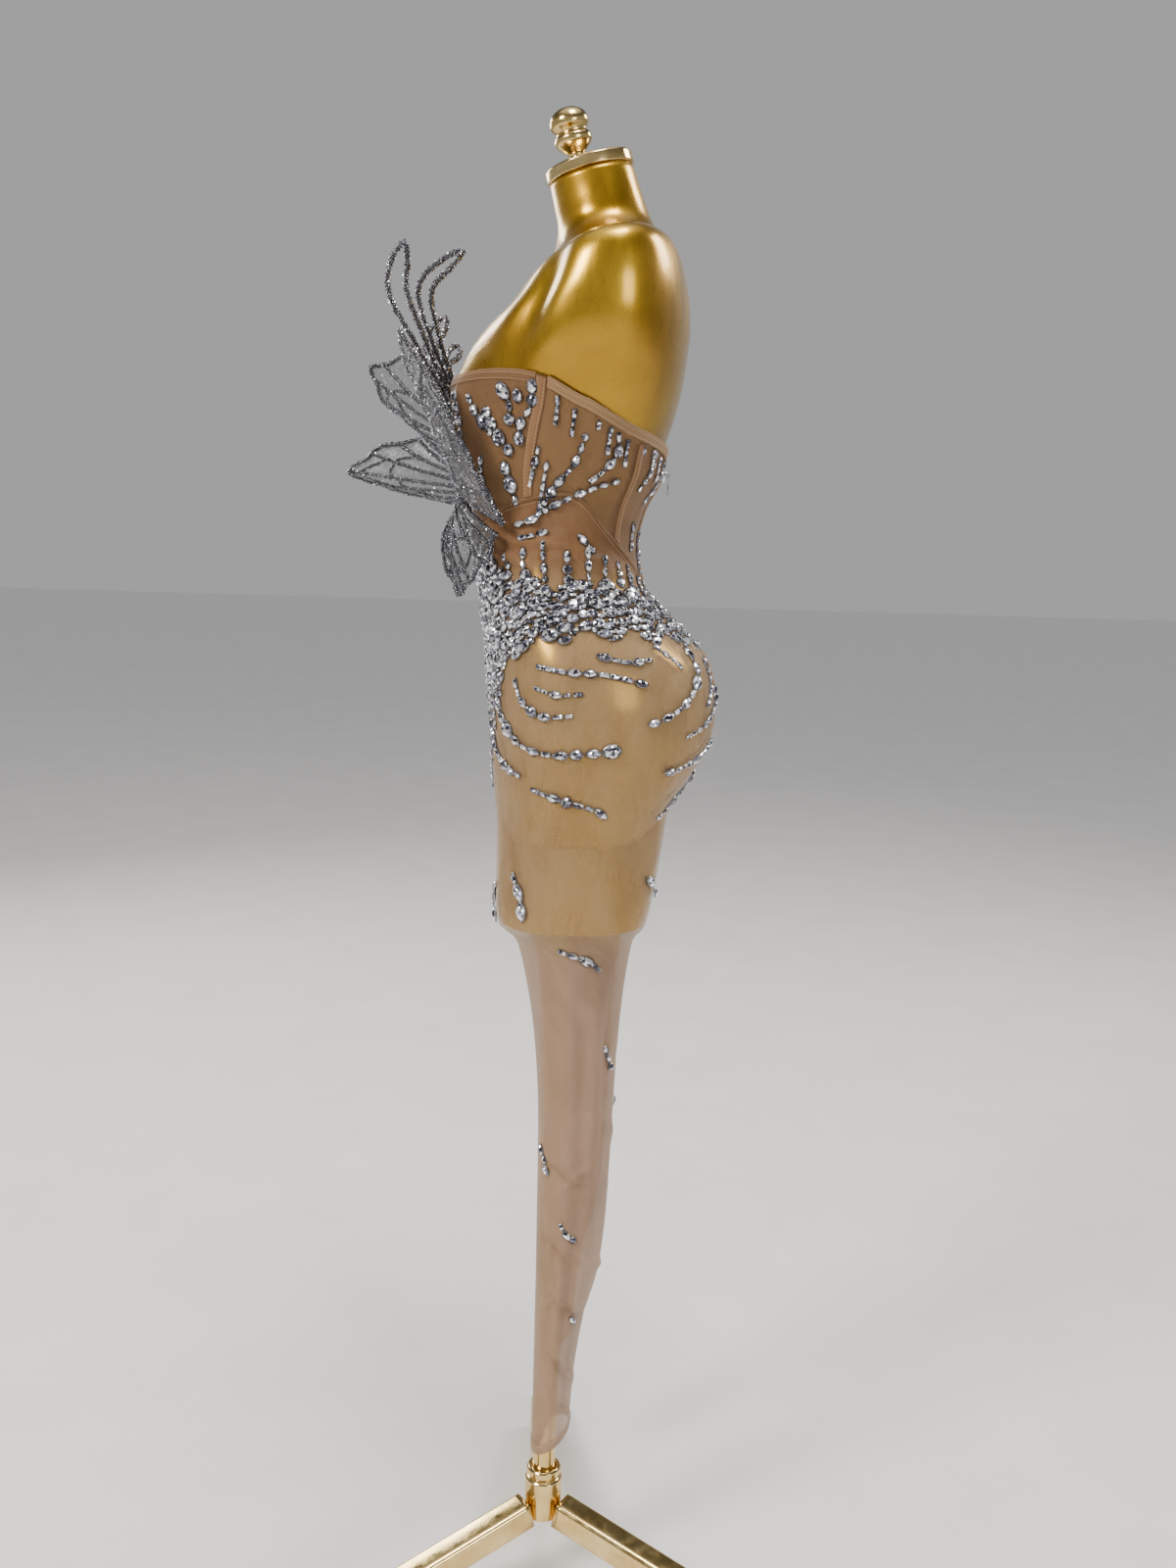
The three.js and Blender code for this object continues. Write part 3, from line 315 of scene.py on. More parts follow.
class Look:
    """A material with a Principled shader, and short calls that add nodes to it."""

    def __init__(self, name, **sockets):
        self.material = bpy.data.materials.new(name)
        self.material.use_nodes = True
        self.tree = self.material.node_tree
        self.shader = self.tree.nodes["Principled BSDF"]
        for socket, value in sockets.items():
            self.shader.inputs[socket.replace("_", " ")].default_value = value

    def feed(self, socket, value):
        if hasattr(value, "is_linked"):
            self.tree.links.new(value, socket)
        else:
            socket.default_value = value

    def node(self, kind, **inputs):
        made = self.tree.nodes.new("ShaderNode" + kind)
        for name, value in inputs.items():
            self.feed(made.inputs[name.replace("_", " ")], value)
        return made

    def coordinates(self, source, scale=(1, 1, 1), turn=0.0):
        made = self.node("TexCoord")
        mapping = self.node("Mapping", Vector=made.outputs[source], Scale=scale, Rotation=(0, 0, turn))
        return mapping.outputs["Vector"]

    def noise(self, vector, scale, detail=3.0, roughness=0.5):
        made = self.node("TexNoise", Vector=vector, Scale=scale, Detail=detail, Roughness=roughness)
        return made.outputs[0]

    def wave(self, vector, scale, direction="X", distortion=0.0):
        made = self.node("TexWave", Vector=vector, Scale=scale, Distortion=distortion)
        made.bands_direction = direction
        return made.outputs["Fac"]

    def spread(self, value, low, high, start=0.0, end=1.0):
        return self.node("MapRange", Value=value, From_Min=start, From_Max=end, To_Min=low,
                         To_Max=high).outputs["Result"]

    def math(self, operation, a, b):
        made = self.node("Math")
        made.operation = operation
        self.feed(made.inputs[0], a)
        self.feed(made.inputs[1], b)
        return made.outputs[0]

    def product(self, a, b):
        return self.math("MULTIPLY", a, b)

    def ramp(self, value, *stops):
        made = self.node("ValToRGB", Fac=value)
        elements = made.color_ramp.elements
        while len(elements) < len(stops):
            elements.new(0.5)
        for element, (position, color) in zip(elements, stops):
            element.position = position
            element.color = (*color, 1)
        return made.outputs["Color"]

    def set(self, socket, output):
        self.tree.links.new(output, self.shader.inputs[socket])
        return self

    def bump(self, height, distance, strength=1.0):
        made = self.node("Bump", Height=height, Distance=distance, Strength=strength)
        return self.set("Normal", made.outputs["Normal"])


def painted_gold():
    look = Look("gold_paint", Metallic=0.86, Coat_Weight=0.3, Coat_Roughness=0.1)
    where = look.coordinates("Object")
    cloud = look.noise(where, 9, 4)
    look.set("Base Color", look.ramp(cloud, (0.3, (0.29, 0.15, 0.006)), (0.52, (0.4, 0.22, 0.01)),
                                     (0.72, (0.49, 0.29, 0.018))))
    smudge = look.noise(look.coordinates("Object", (1, 1, 0.35)), 38, 5, 0.65)
    look.set("Roughness", look.spread(smudge, 0.2, 0.36, 0.3, 0.7))
    peel = look.noise(where, 420, 2)
    dents = look.noise(where, 24, 2)
    look.bump(look.math("ADD", look.product(peel, 0.05), dents), 0.0011, 0.5)
    return look.material


def polished_brass():
    look = Look("polished_brass", Metallic=1.0)
    where = look.coordinates("Object")
    tarnish = look.noise(where, 30, 5, 0.6)
    look.set("Base Color", look.ramp(tarnish, (0.3, (0.58, 0.39, 0.13)), (0.6, (0.78, 0.58, 0.25)),
                                     (0.8, (0.86, 0.68, 0.36))))
    look.set("Roughness", look.spread(look.noise(where, 90, 4), 0.08, 0.24, 0.3, 0.75))
    look.bump(look.noise(look.coordinates("Object", (1, 1, 6)), 300, 2), 0.00008, 0.6)
    return look.material


# The heights in metres between which, from the hip up, the net gets less stretched and closer, and darker
# with painted shade: the form in shadow seen through it where it stands off at the waist.
CLOSE_NET_AND_SHADE = (1.065, 1.13)
# The heights between which it gets loose, at the form's rims, and its colours below them.
LOOSE_NET = (0.725, 0.757)
LOOSE_COLORS = ((0.2, (0.21, 0.115, 0.064)), (0.85, (0.43, 0.27, 0.168)))
NET_TURN = math.radians(38)
NET_SCALE = 0.75


def stretch_mesh(name, closest_and_shaded, deep, light, alpha, closer=1.0):
    """Fine two-way stretch mesh: a diamond net that is a little closer here and there, with painted shade
    darkening it from the hip up.
    """
    look = Look(name, Roughness=0.55, Sheen_Weight=0.12, Sheen_Roughness=0.4)
    look.shader.inputs["Sheen Tint"].default_value = (1, 0.86, 0.72, 1)
    slack = look.noise(look.coordinates("UV", (0.02, 0.008, 1)), 1.0, 4, 0.6)
    net = look.math("MAXIMUM", *(look.wave(look.coordinates("UV", turn=turn), NET_SCALE)
                                 for turn in (NET_TURN, -NET_TURN)))
    height = look.node("SeparateXYZ", Vector=look.coordinates("Object")).outputs["Z"]
    # Painted shade: the height term darkens the net's colour from the hip up; the slack noise is the net's
    # own unevenness.
    shade = look.product(look.spread(slack, 0.7, 1.15, 0.3, 0.7), look.spread(height, 1, 0.2, *CLOSE_NET_AND_SHADE))
    worn = look.product(net, shade)
    stretched = look.ramp(worn, (0.1, closest_and_shaded), (0.3, deep), (0.85, light))
    loose = look.ramp(worn, *LOOSE_COLORS)
    hanging = look.spread(height, 1, 0, *LOOSE_NET)
    look.set("Base Color", look.node("MixRGB", Fac=hanging, Color1=stretched, Color2=loose).outputs[0])
    fine = look.product(look.spread(net, 0.9, 1.08), look.spread(height, 1, closer, *CLOSE_NET_AND_SHADE))
    fine = look.product(fine, look.spread(hanging, 1, closer * 0.98))
    look.set("Alpha", look.product(fine, look.spread(slack, alpha - 0.05, alpha + 0.06, 0.35, 0.7)))
    look.bump(net, 0.00025, 0.5)
    return look.material


def ribbed_tape(name, deep, light, ribs, alpha=1.0):
    """Woven or knitted tape, with fine ribs along it and a weaker weave across them."""
    look = Look(name, Roughness=0.68, Sheen_Weight=0.1, Alpha=alpha)
    ribs_along = look.wave(look.coordinates("UV"), ribs, "X")
    cross = look.wave(look.coordinates("UV"), ribs * 1.6, "Y", 0.6)
    mixed = look.product(ribs_along, look.spread(cross, 0.65, 1))
    look.set("Base Color", look.ramp(mixed, (0.1, deep), (0.8, light)))
    look.bump(mixed, 0.0003, 0.7)
    return look.material


def plain_look(name, color, variation=0.12, scale=200, **sockets):
    """A colour that a fine noise makes a little lighter and darker, with a fine bump."""
    look = Look(name, **sockets)
    grain = look.noise(look.coordinates("Object"), scale, 4)
    dark = tuple(value * (1 - variation) for value in color)
    light = tuple(min(1, value * (1 + variation)) for value in color)
    look.set("Base Color", look.ramp(grain, (0.3, dark), (0.7, light)))
    look.bump(grain, 0.00015, 0.4)
    return look.material


def organza_look():
    """Shot organza: a fine plain weave, grey, with a silver shimmer painted into its colour: lighter on the
    raised crinkles and darker in their hollows.
    """
    look = Look("organza", Roughness=0.35, Metallic=0.35, Sheen_Weight=0.1)
    cloth = look.coordinates("UV")
    crinkle = look.noise(cloth, 0.16, 5, 0.65)
    threads = look.math("MAXIMUM", look.wave(cloth, 1.3, "X"), look.wave(cloth, 1.3, "Y"))
    # Painted highlight and painted shade: the colour follows the crinkle relief, light on its ridges and dark
    # in its hollows, times the weave.
    shimmer = look.product(crinkle, look.spread(threads, 0.8, 1.1))
    look.set("Base Color", look.ramp(shimmer, (0.25, (0.04, 0.04, 0.042)), (0.5, (0.11, 0.11, 0.115)),
                                     (0.75, (0.32, 0.32, 0.34))))
    look.set("Alpha", look.spread(crinkle, 0.35, 0.72, 0.3, 0.7))
    look.bump(crinkle, 0.0012, 0.6)
    return look.material


def foiled_crystal():
    """Cut glass on silver foil: the bright and dark reflections of its inner facets are painted into its
    colour as small patches.
    """
    look = Look("foiled_crystal", Roughness=0.05, Metallic=0.8, Coat_Weight=1.0, Coat_Roughness=0.02)
    cells = look.node("TexVoronoi", Vector=look.coordinates("Object"), Scale=330.0).outputs["Color"]
    # Painted reflections: the facet cells run from near black to white in the colour.
    look.set("Base Color", look.ramp(cells, (0.3, (0.02, 0.02, 0.035)), (0.44, (0.16, 0.16, 0.23)),
                                     (0.56, (0.62, 0.62, 0.74)), (0.7, (1.0, 1.0, 1.0))))
    look.bump(cells, 0.0008, 0.8)
    return look.material


GOLD = painted_gold()
BRASS = polished_brass()
# Each net's first colour is its closest weave darkened with painted shade, reached from the hip up.
BODICE_MESH = stretch_mesh("bodice_mesh", (0.2, 0.098, 0.038), (0.28, 0.152, 0.064), (0.5, 0.29, 0.135), 0.68)
LOWER_MESH = stretch_mesh("lower_mesh", (0.18, 0.07, 0.02), (0.33, 0.19, 0.082), (0.58, 0.39, 0.2), 0.45, 1.7)
CHANNEL_TAPE = ribbed_tape("channel_tape", (0.19, 0.085, 0.03), (0.38, 0.2, 0.08), 0.55, 0.9)
BINDING = ribbed_tape("elastic_binding", (0.2, 0.105, 0.036), (0.4, 0.235, 0.1), 0.42)
ZIP_TAPE = ribbed_tape("zip_tape", (0.24, 0.125, 0.05), (0.46, 0.27, 0.13), 0.7)
THREAD = plain_look("thread", (0.55, 0.35, 0.19), 0.2, 900, Roughness=0.6, Sheen_Weight=0.4)
ZIP_COIL = plain_look("zip_coil", (0.42, 0.27, 0.15), 0.25, 700, Roughness=0.3)
STEEL = plain_look("bright_steel", (0.66, 0.67, 0.69), 0.12, 120, Roughness=0.2, Metallic=1.0)
CRYSTAL = foiled_crystal()
SETTING = plain_look("crystal_setting", (0.24, 0.24, 0.26), 0.3, 300, Roughness=0.3, Metallic=1.0)
BEAD = plain_look("silver_bead", (0.09, 0.09, 0.1), 0.6, 350, Roughness=0.2, Metallic=0.9)
GLITTER = plain_look("glitter", (0.36, 0.36, 0.4), 0.9, 300, Roughness=0.12, Metallic=1.0)
ORGANZA = organza_look()
RUBBER = plain_look("foot_rubber", (0.02, 0.02, 0.022), 0.4, 180, Roughness=0.7)


# Meshes

def link(name, data):
    obj = bpy.data.objects.new(name, data)
    bpy.context.scene.collection.objects.link(obj)
    return obj


def mesh_piece(name, points, faces, material, replaced=(), uv=None, smooth=True):
    """A piece that rides on the garment's body, with its finish and the nodes that it stands for."""
    mesh = bpy.data.meshes.new(name)
    mesh.from_pydata([place(p) for p in points], [], faces)
    if uv is not None:
        layer = mesh.uv_layers.new(name="cloth")
        corners = np.zeros(len(mesh.loops), np.int32)
        mesh.loops.foreach_get("vertex_index", corners)
        layer.data.foreach_set("uv", np.asarray(uv, np.float32)[corners].ravel())
    mesh.polygons.foreach_set("use_smooth", [smooth] * len(mesh.polygons))
    mesh.update()
    mesh.materials.append(material)
    obj = link(name, mesh)
    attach(obj, SUIT)
    if replaced:
        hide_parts(*replaced)
    return obj


class Grid:
    """Rows of points joined by faces, welded where points meet, with a UV map in millimetres."""

    def __init__(self):
        self.points, self.faces, self.uv, self.found = [], [], [], {}

    def index(self, point, uv):
        key = tuple(round(float(value), 3) for value in point)
        if key not in self.found:
            self.found[key] = len(self.points)
            self.points.append(point)
            self.uv.append(uv)
        return self.found[key]

    def rows(self, rows, closed=False, flip=False):
        indices = []
        down = 0.0
        for n, row in enumerate(rows):
            if n:
                down += float(np.linalg.norm(row[len(row) // 3] - rows[n - 1][len(row) // 3]))
            along = 0.0
            line = []
            for m, point in enumerate(row):
                if m:
                    along += float(np.linalg.norm(point - row[m - 1]))
                line.append(self.index(point, (along, -down)))
            indices.append(line)
        for upper, lower in zip(indices, indices[1:]):
            count = len(upper)
            for m in range(count if closed else count - 1):
                k = (m + 1) % count
                face = [upper[m], lower[m], lower[k], upper[k]]
                unique = list(dict.fromkeys(face))
                if len(unique) > 2:
                    self.faces.append(unique[::-1] if flip else unique)
        return self

    def piece(self, name, material, slot, *replaced):
        return mesh_piece(name, self.points, self.faces, material, replaced, self.uv)


def steps(count, start=0.0, end=1.0):
    return [lerp(start, end, i / count) for i in range(count + 1)]


def mirror(points):
    return [np.array((-p[0], p[1], p[2])) for p in points]


# Creases that only the looks have: from angle and z, to angle and z, height, half width.
TORSO_CREASES = {
    "left": [
        (44, 1142, 96, 1136, 4.6, 3.4), (40, 1150, 84, 1166, 3.6, 3.0), (62, 1154, 124, 1121, 5.0, 3.2),
        (78, 1172, 128, 1128, -2.2, 3.4), (36, 1130, 78, 1116, 3.6, 3.4), (88, 1132, 130, 1112, 3.0, 2.6),
        (26, 1142, 96, 1104, 1.7, 4.5), (44, 1158, 124, 1118, 1.3, 3.6), (60, 1170, 148, 1104, 1.5, 4.2),
        (34, 1120, 82, 1090, 1.1, 4.0), (88, 1178, 160, 1112, 1.2, 3.8), (20, 1106, 60, 1076, 0.8, 5.0),
        (100, 1110, 150, 1074, 1.1, 4.6), (62, 1214, 108, 1188, 0.7, 5.0), (84, 1232, 126, 1176, -0.6, 4.5),
        (18, 1204, 58, 1180, 0.7, 4.0), (60, 902, 120, 868, 0.7, 6.0), (128, 884, 168, 862, 0.9, 5.0),
    ],
    "right": [
        (38, 1146, 88, 1140, 3.2, 3.4), (52, 1158, 112, 1128, 3.2, 3.4), (42, 1128, 92, 1120, 2.6, 3.2),
        (84, 1166, 132, 1124, -2.2, 3.6), (96, 1130, 126, 1116, 2.0, 2.6), (22, 1136, 104, 1098, 1.5, 4.2),
        (50, 1160, 132, 1110, 1.6, 4.0), (70, 1176, 154, 1118, 1.1, 3.6), (28, 1112, 76, 1086, 1.2, 4.6),
        (96, 1164, 166, 1098, 1.3, 4.4), (108, 1096, 154, 1066, 0.9, 5.2), (58, 1220, 112, 1190, 0.8, 4.6),
        (24, 1198, 62, 1174, 0.6, 4.4), (66, 908, 126, 872, 0.8, 6.4), (132, 878, 166, 858, 0.8, 5.2),
    ],
}
# The same for the legs below the form.
LEG_CREASES = {
    "left": [
        (20, 512, 118, 480, -2.2, 5), (60, 470, 140, 508, 1.6, 5), (36, 420, 128, 388, -2.6, 6),
        (100, 396, 190, 372, 1.8, 5), (24, 372, 104, 344, 1.9, 5), (70, 352, 168, 322, -2.4, 5),
        (30, 330, 96, 352, 1.5, 4), (52, 298, 150, 252, -2.6, 5), (96, 286, 176, 236, 1.8, 5),
        (40, 262, 84, 232, 1.6, 4), (84, 700, 128, 640, 1.4, 7), (120, 668, 168, 610, -1.6, 7),
        (200, 560, 300, 520, -2.0, 6), (210, 430, 320, 398, 1.8, 6), (196, 310, 290, 282, -2.2, 5),
        (62, 590, 120, 560, -1.2, 7), (128, 560, 176, 520, 1.4, 6), (112, 232, 178, 206, -1.6, 4),
    ],
    "right": [
        (26, 500, 120, 462, -2.4, 6), (68, 446, 158, 416, 1.7, 5), (30, 392, 110, 372, -2.0, 5),
        (90, 360, 180, 330, -2.6, 6), (40, 338, 120, 310, 1.8, 5), (60, 290, 160, 258, -2.2, 5),
        (204, 540, 300, 506, -2.0, 6), (190, 420, 310, 384, 1.9, 6), (210, 300, 320, 262, -2.0, 5),
        (76, 690, 126, 632, 1.5, 7), (130, 640, 178, 590, -1.4, 7), (100, 262, 170, 232, 1.5, 4),
    ],
}
TORSO_RADIUS = 118.0
LEG_RADIUS = 46.0
LEG_CREASE_SHARE = 2.1
CREASE_BOW = 4
CREASE_RUN_OUT = 0.15


def creased(creases, degrees, z, radius):
    """The height of the creases at a place. Each is a bowed ridge or trough that runs out at its ends."""
    total = 0.0
    for angle_a, z_a, angle_b, z_b, height, spread in creases:
        if not min(z_a, z_b) - 3 * spread < z < max(z_a, z_b) + 3 * spread:
            continue
        arc = math.radians(1) * radius
        run, rise = (angle_b - angle_a) * arc, z_b - z_a
        away, up = (degrees - angle_a) * arc, z - z_a
        length = run * run + rise * rise
        t = (away * run + up * rise) / length
        if -CREASE_RUN_OUT < t < 1 + CREASE_RUN_OUT:
            bow = CREASE_BOW * math.sin(math.pi * clamp(t)) * math.copysign(1, height)
            offset = (away * rise - up * run) / math.sqrt(length) + bow
            ends = math.sin(math.pi * clamp((t + CREASE_RUN_OUT) / (1 + 2 * CREASE_RUN_OUT))) ** 1.5
            total += height * ends * bell(offset, spread)
    return total


def skin(angle, z, lift):
    """A point of the worn cloth on the torso, lift millimetres out from the cloth's inner face."""
    creases = TORSO_CREASES["left" if angle >= 0 else "right"]
    fine = creased(creases, abs(math.degrees(angle)), z, TORSO_RADIUS)
    return torso_point(angle, z) + torso_normal(angle, z) * (stand_off(angle, z) + fine + lift)


def leg_out(key, point):
    """The direction from a leg's middle to a point of it."""
    return unit(point - leg_section(leg_angle(key), point[2])[1])


def leg_skin(leg, key, t, lift):
    """A point of a leg below the form, in the left leg's frame, t of the way up from the hem."""
    point = leg_point(leg, key, t)
    degrees = math.degrees(leg_angle(key)) % 360
    fine = LEG_CREASE_SHARE * creased(LEG_CREASES[leg], degrees, point[2], LEG_RADIUS)
    return point + leg_out(key, point) * (lift + fine)


def thigh_skin(key, t, lift):
    """A point of a leg on the form's thigh stub, t of the way up from its rim to the crotch's level."""
    point = thigh_point(key, t)
    out = leg_out(key, point)
    if key <= 1:
        out = unit(out * (1 - t) + torso_normal(math.pi * key, crotch_level(key)) * t)
    else:
        out = unit(out * (1 - t ** 4) + np.array((0, 0, -1.0)) * t ** 4)
    return point + out * lift


MID_WALL = WALL / 2
# Columns of a lower piece round the outside and inside of its leg, and rows on the hip, thigh and leg.
HALF_COLUMNS = 72
INSIDE_COLUMNS = 18
HIP_ROWS = 84
THIGH_ROWS = 30
LEG_ROWS = 168
PANEL_ROWS = 44
PANEL_COLUMN = 2.2


def lower_sheet(leg):
    """A lower piece: half of the hip, which is open at the centre seams, and one whole leg."""
    outside = steps(HALF_COLUMNS)
    keys = outside + steps(INSIDE_COLUMNS, 1, 2)[1:-1]
    hip = []
    for t in steps(HIP_ROWS):
        row = []
        for key in outside:
            z = lerp(seam_z(180 * key) - LAY_GAP, crotch_level(key), t)
            point = skin(SIGNS[leg] * math.pi * key, z, MID_WALL)
            point[0] = max(abs(point[0]), SEAM_GAP / 2) if key in (0, 1) else abs(point[0])
            row.append(point)
        hip.append(row)
    tube = [[thigh_skin(key, t, MID_WALL) for key in keys] for t in steps(THIGH_ROWS, 1, 0)]
    tube[0][:len(outside)] = hip[-1]
    tube += [[leg_skin(leg, key, t, MID_WALL) for key in keys] for t in steps(LEG_ROWS, 1, 0)[1:]]
    flip = leg == "right"
    if flip:
        hip, tube = ([mirror(row) for row in rows] for rows in (hip, tube))
    grid = Grid().rows(hip, flip=flip).rows(tube, closed=True, flip=flip)
    grid.piece(f"lower_{leg}_cloth", LOWER_MESH, "stretch_mesh", f"lower_{leg}")


def panel_sheet(node, low, high):
    """A bodice panel between two angles, from the top edge to the waist seam."""
    columns = steps(round(abs(high - low) / PANEL_COLUMN), low, high)
    rows = [[skin(math.radians(a), lerp(top_z(a), seam_z(a), t), MID_WALL) for a in columns]
            for t in steps(PANEL_ROWS)]
    Grid().rows(rows).piece(f"{node}_cloth", BODICE_MESH, "stretch_mesh", node)


def strip(name, rows, material, slot="stretch_mesh", side="left", replaced=()):
    """A strip on the torso, in rows of (angle in degrees, z, lift) that the right side mirrors."""
    sign = SIGNS[side]
    points = [[skin(math.radians(sign * a), z, lift) for a, z, lift in row][::sign] for row in rows]
    Grid().rows(points).piece(name, material, slot, *replaced)


BACK_LIMIT = 179.93
SEAM_HALF = 0.14

panel_sheet("bodice_front", -SEAM_FRONT + SEAM_HALF, SEAM_FRONT - SEAM_HALF)
for side, sign in SIGNS.items():
    for part, low, high in (("side", SEAM_FRONT + SEAM_HALF, SEAM_BACK - SEAM_HALF),
                            ("back", SEAM_BACK + SEAM_HALF, BACK_LIMIT)):
        panel_sheet(f"bodice_{part}_{side}", *sorted((sign * low, sign * high)))
    lower_sheet(side)


# The dress form and its stand

TRUNK_Z = 940
FORM_LEVELS = steps(14, NECK_Z, 1440) + steps(34, 1437, 1300) + steps(70, 1296, TRUNK_Z)
# How far in from the rim's outer edge its flat face has rings of points.
RIM_RINGS = (RIM_FILLET + 14, RIM_FILLET + 34)


def form_piece():
    """The form: torso, two thigh stubs with rounded rims, inset from the cloth's inner face."""
    outside = steps(60)
    thigh_keys = outside + steps(16, 1, 2)[1:-1]

    def ring(point_at):
        left = [point_at(key) for key in outside]
        return left + mirror(left[1:-1][::-1])

    grid = Grid()
    torso = [ring(lambda key, z=z: torso_point(math.pi * key, z)) for z in FORM_LEVELS]
    torso += [ring(lambda key, t=t: torso_point(math.pi * key, lerp(TRUNK_Z, crotch_level(key), t)))
              for t in steps(18)[1:]]
    grid.rows(torso, closed=True)
    heights = [math.cos(math.pi / 2 * t) for t in steps(24)]
    thigh = [[thigh_point(key, max(t, RIM_FILLET / (crotch_level(key) - RIM_Z))) for key in thigh_keys]
             for t in heights]
    thigh[0][:len(outside)] = torso[-1][:len(outside)]
    grid.rows(thigh, closed=True)
    right = [mirror(row) for row in thigh]
    grid.rows(right, closed=True, flip=True)
    normals = vertex_normals(grid.points, grid.faces)
    points = [point - normal * FORM_INSET for point, normal in zip(grid.points, normals)]
    top, left_rim, right_rim = ([grid.index(point, (0, 0)) for point in row]
                                for row in (torso[0], thigh[-1], right[-1]))
    for index in top:
        points[index][2] = grid.points[index][2]
    faces = list(grid.faces)
    close_top(points, faces, top)
    close_rim(points, faces, left_rim, False)
    close_rim(points, faces, right_rim, True)
    return mesh_piece("form_gold", points, faces, GOLD, ["form_torso"])


def vertex_normals(points, faces):
    corners = np.array(points)
    sums = np.zeros_like(corners)
    for face in faces:
        corner = corners[face]
        normal = np.cross(corner[1] - corner[0], corner[2] - corner[0])
        if len(face) == 4:
            normal = normal + np.cross(corner[2] - corner[0], corner[3] - corner[0])
        for index in face:
            sums[index] += normal
    return sums / np.maximum(np.linalg.norm(sums, axis=1, keepdims=True), 1e-9)


def close_fan(points, faces, loop, middle, turned):
    points.append(middle)
    for n, a in enumerate(loop):
        b = loop[(n + 1) % len(loop)]
        faces.append([len(points) - 1, a, b] if turned else [a, len(points) - 1, b])


def close_top(points, faces, loop):
    close_fan(points, faces, loop, sum(points[i] for i in loop) / len(loop), True)


def close_rim(points, faces, loop, turned):
    """Closes a thigh stub with a rounded edge and a flat face."""
    middle = sum(points[i] for i in loop) / len(loop)
    last = loop
    rounding = [(RIM_FILLET * (1 - math.cos(a)), RIM_FILLET * (1 - math.sin(a)))
                for a in steps(6, 0, math.pi / 2)[1:]]
    for inset, height in rounding + [(inset, 0) for inset in RIM_RINGS]:
        ring = []
        for index in loop:
            away = middle - points[index]
            away[2] = 0
            points.append(points[index] + unit(away) * inset)
            points[-1][2] = RIM_Z + height
            ring.append(len(points) - 1)
        for n, a in enumerate(last):
            k = (n + 1) % len(last)
            face = [a, ring[n], ring[k], last[k]]
            faces.append(face[::-1] if turned else face)
        last = ring
    middle[2] = RIM_Z
    close_fan(points, faces, last, middle, turned)


def round_profile(corners, radius, cuts=4):
    """A turned profile whose corners are rounded off."""
    corners = [np.array(c, float) for c in corners]
    made = [corners[0]]
    for before, corner, after in zip(corners, corners[1:], corners[2:]):
        reach = min(radius, np.linalg.norm(before - corner) / 2.2, np.linalg.norm(after - corner) / 2.2)
        start, end = corner + unit(before - corner) * reach, corner + unit(after - corner) * reach
        for t in steps(cuts):
            made.append(start * (1 - t) ** 2 + corner * 2 * t * (1 - t) + end * t * t)
    return made + [corners[-1]]


def turned_rows(profile, sides, matrix, tilt=lambda x, height: 0.0):
    """Rings of points round the Z axis, one for each (radius, height), carried by the matrix."""
    rows = []
    for radius, height in profile:
        row = []
        for a in steps(sides, 0, 2 * math.pi)[:-1]:
            x = radius * math.cos(a)
            row.append(np.array(matrix @ Vector((x, radius * math.sin(a), height + tilt(x, height)))))
        rows.append(row)
    return rows


form = form_piece()
NECK = Matrix.Translation((0, NECK_Y, NECK_Z + 0.6)) @ Matrix.Rotation(math.radians(NECK_TILT), 4, "X")
STAND = Matrix.Translation((POLE_X, 0, 0))
SLEEVE = POLE_RADIUS + SEAM_GAP
CAP_RIM = NECK_RADIUS - 1
POLE_TOP = RIM_Z - SEAM_GAP
# Turned brass: its node, slot, place, the radius of its edges, and its profile of (radius, height).
TURNED = [
    ("neck_cap", "neck_metal", NECK, 0.8, [
        (0, 0), (CAP_RIM, 0), (NECK_RADIUS, 1), (NECK_RADIUS, CAP_HEIGHT - 3),
        (NECK_RADIUS - 1.5, CAP_HEIGHT - 1.2), (24, CAP_HEIGHT), (0, CAP_HEIGHT)]),
    ("finial", "neck_metal", NECK @ Matrix.Translation((0, FINIAL_Y, CAP_HEIGHT + SEAM_GAP)), 3, [
        (0, 0), (13, 0), (13, 3), (8, 6), (9, 10), (15, 15), (19, 20), (19.5, 25), (15.5, 30), (17, 33),
        (20, 37), (20, 42), (17.5, 48), (10.5, 53), (0, 54.8)]),
    ("pole", "stand_metal", STAND, 0.3, [
        (0, 102), (POLE_RADIUS, 102), (POLE_RADIUS, POLE_TOP), (0, POLE_TOP)]),
    ("pole_sleeve", "stand_metal", STAND, 0.4, [
        (SLEEVE, 661), (SLEEVE + 1.5, 661), (SLEEVE + 1.5, 669), (SLEEVE, 669), (SLEEVE, 661)]),
    ("hub", "stand_metal", STAND, 0.8, [
        (0, 76), (18.5, 76), (20.5, 78), (20.5, 121), (18.5, 123), (16, 124), (19, 127), (19, 133), (17, 135),
        (SLEEVE, 135), (SLEEVE, 101.7), (0, 101.7)]),
]
for name, slot, matrix, edge, corners in TURNED:
    rows = turned_rows(round_profile(corners, edge), 64, matrix)
    Grid().rows(rows, closed=True, flip=True).piece(f"{name}_brass", BRASS, slot, name)

STAND_LEGS = [-58, 62, 182]
LEG_BAR = {"width": 30, "height": 28, "start": 21.2, "reach": 282, "hub_z": 92, "corner": 6}
LEG_SLOPE = math.radians(13.5)
FOOT = {"radius": 13, "radial": 262, "edge": 1.2}


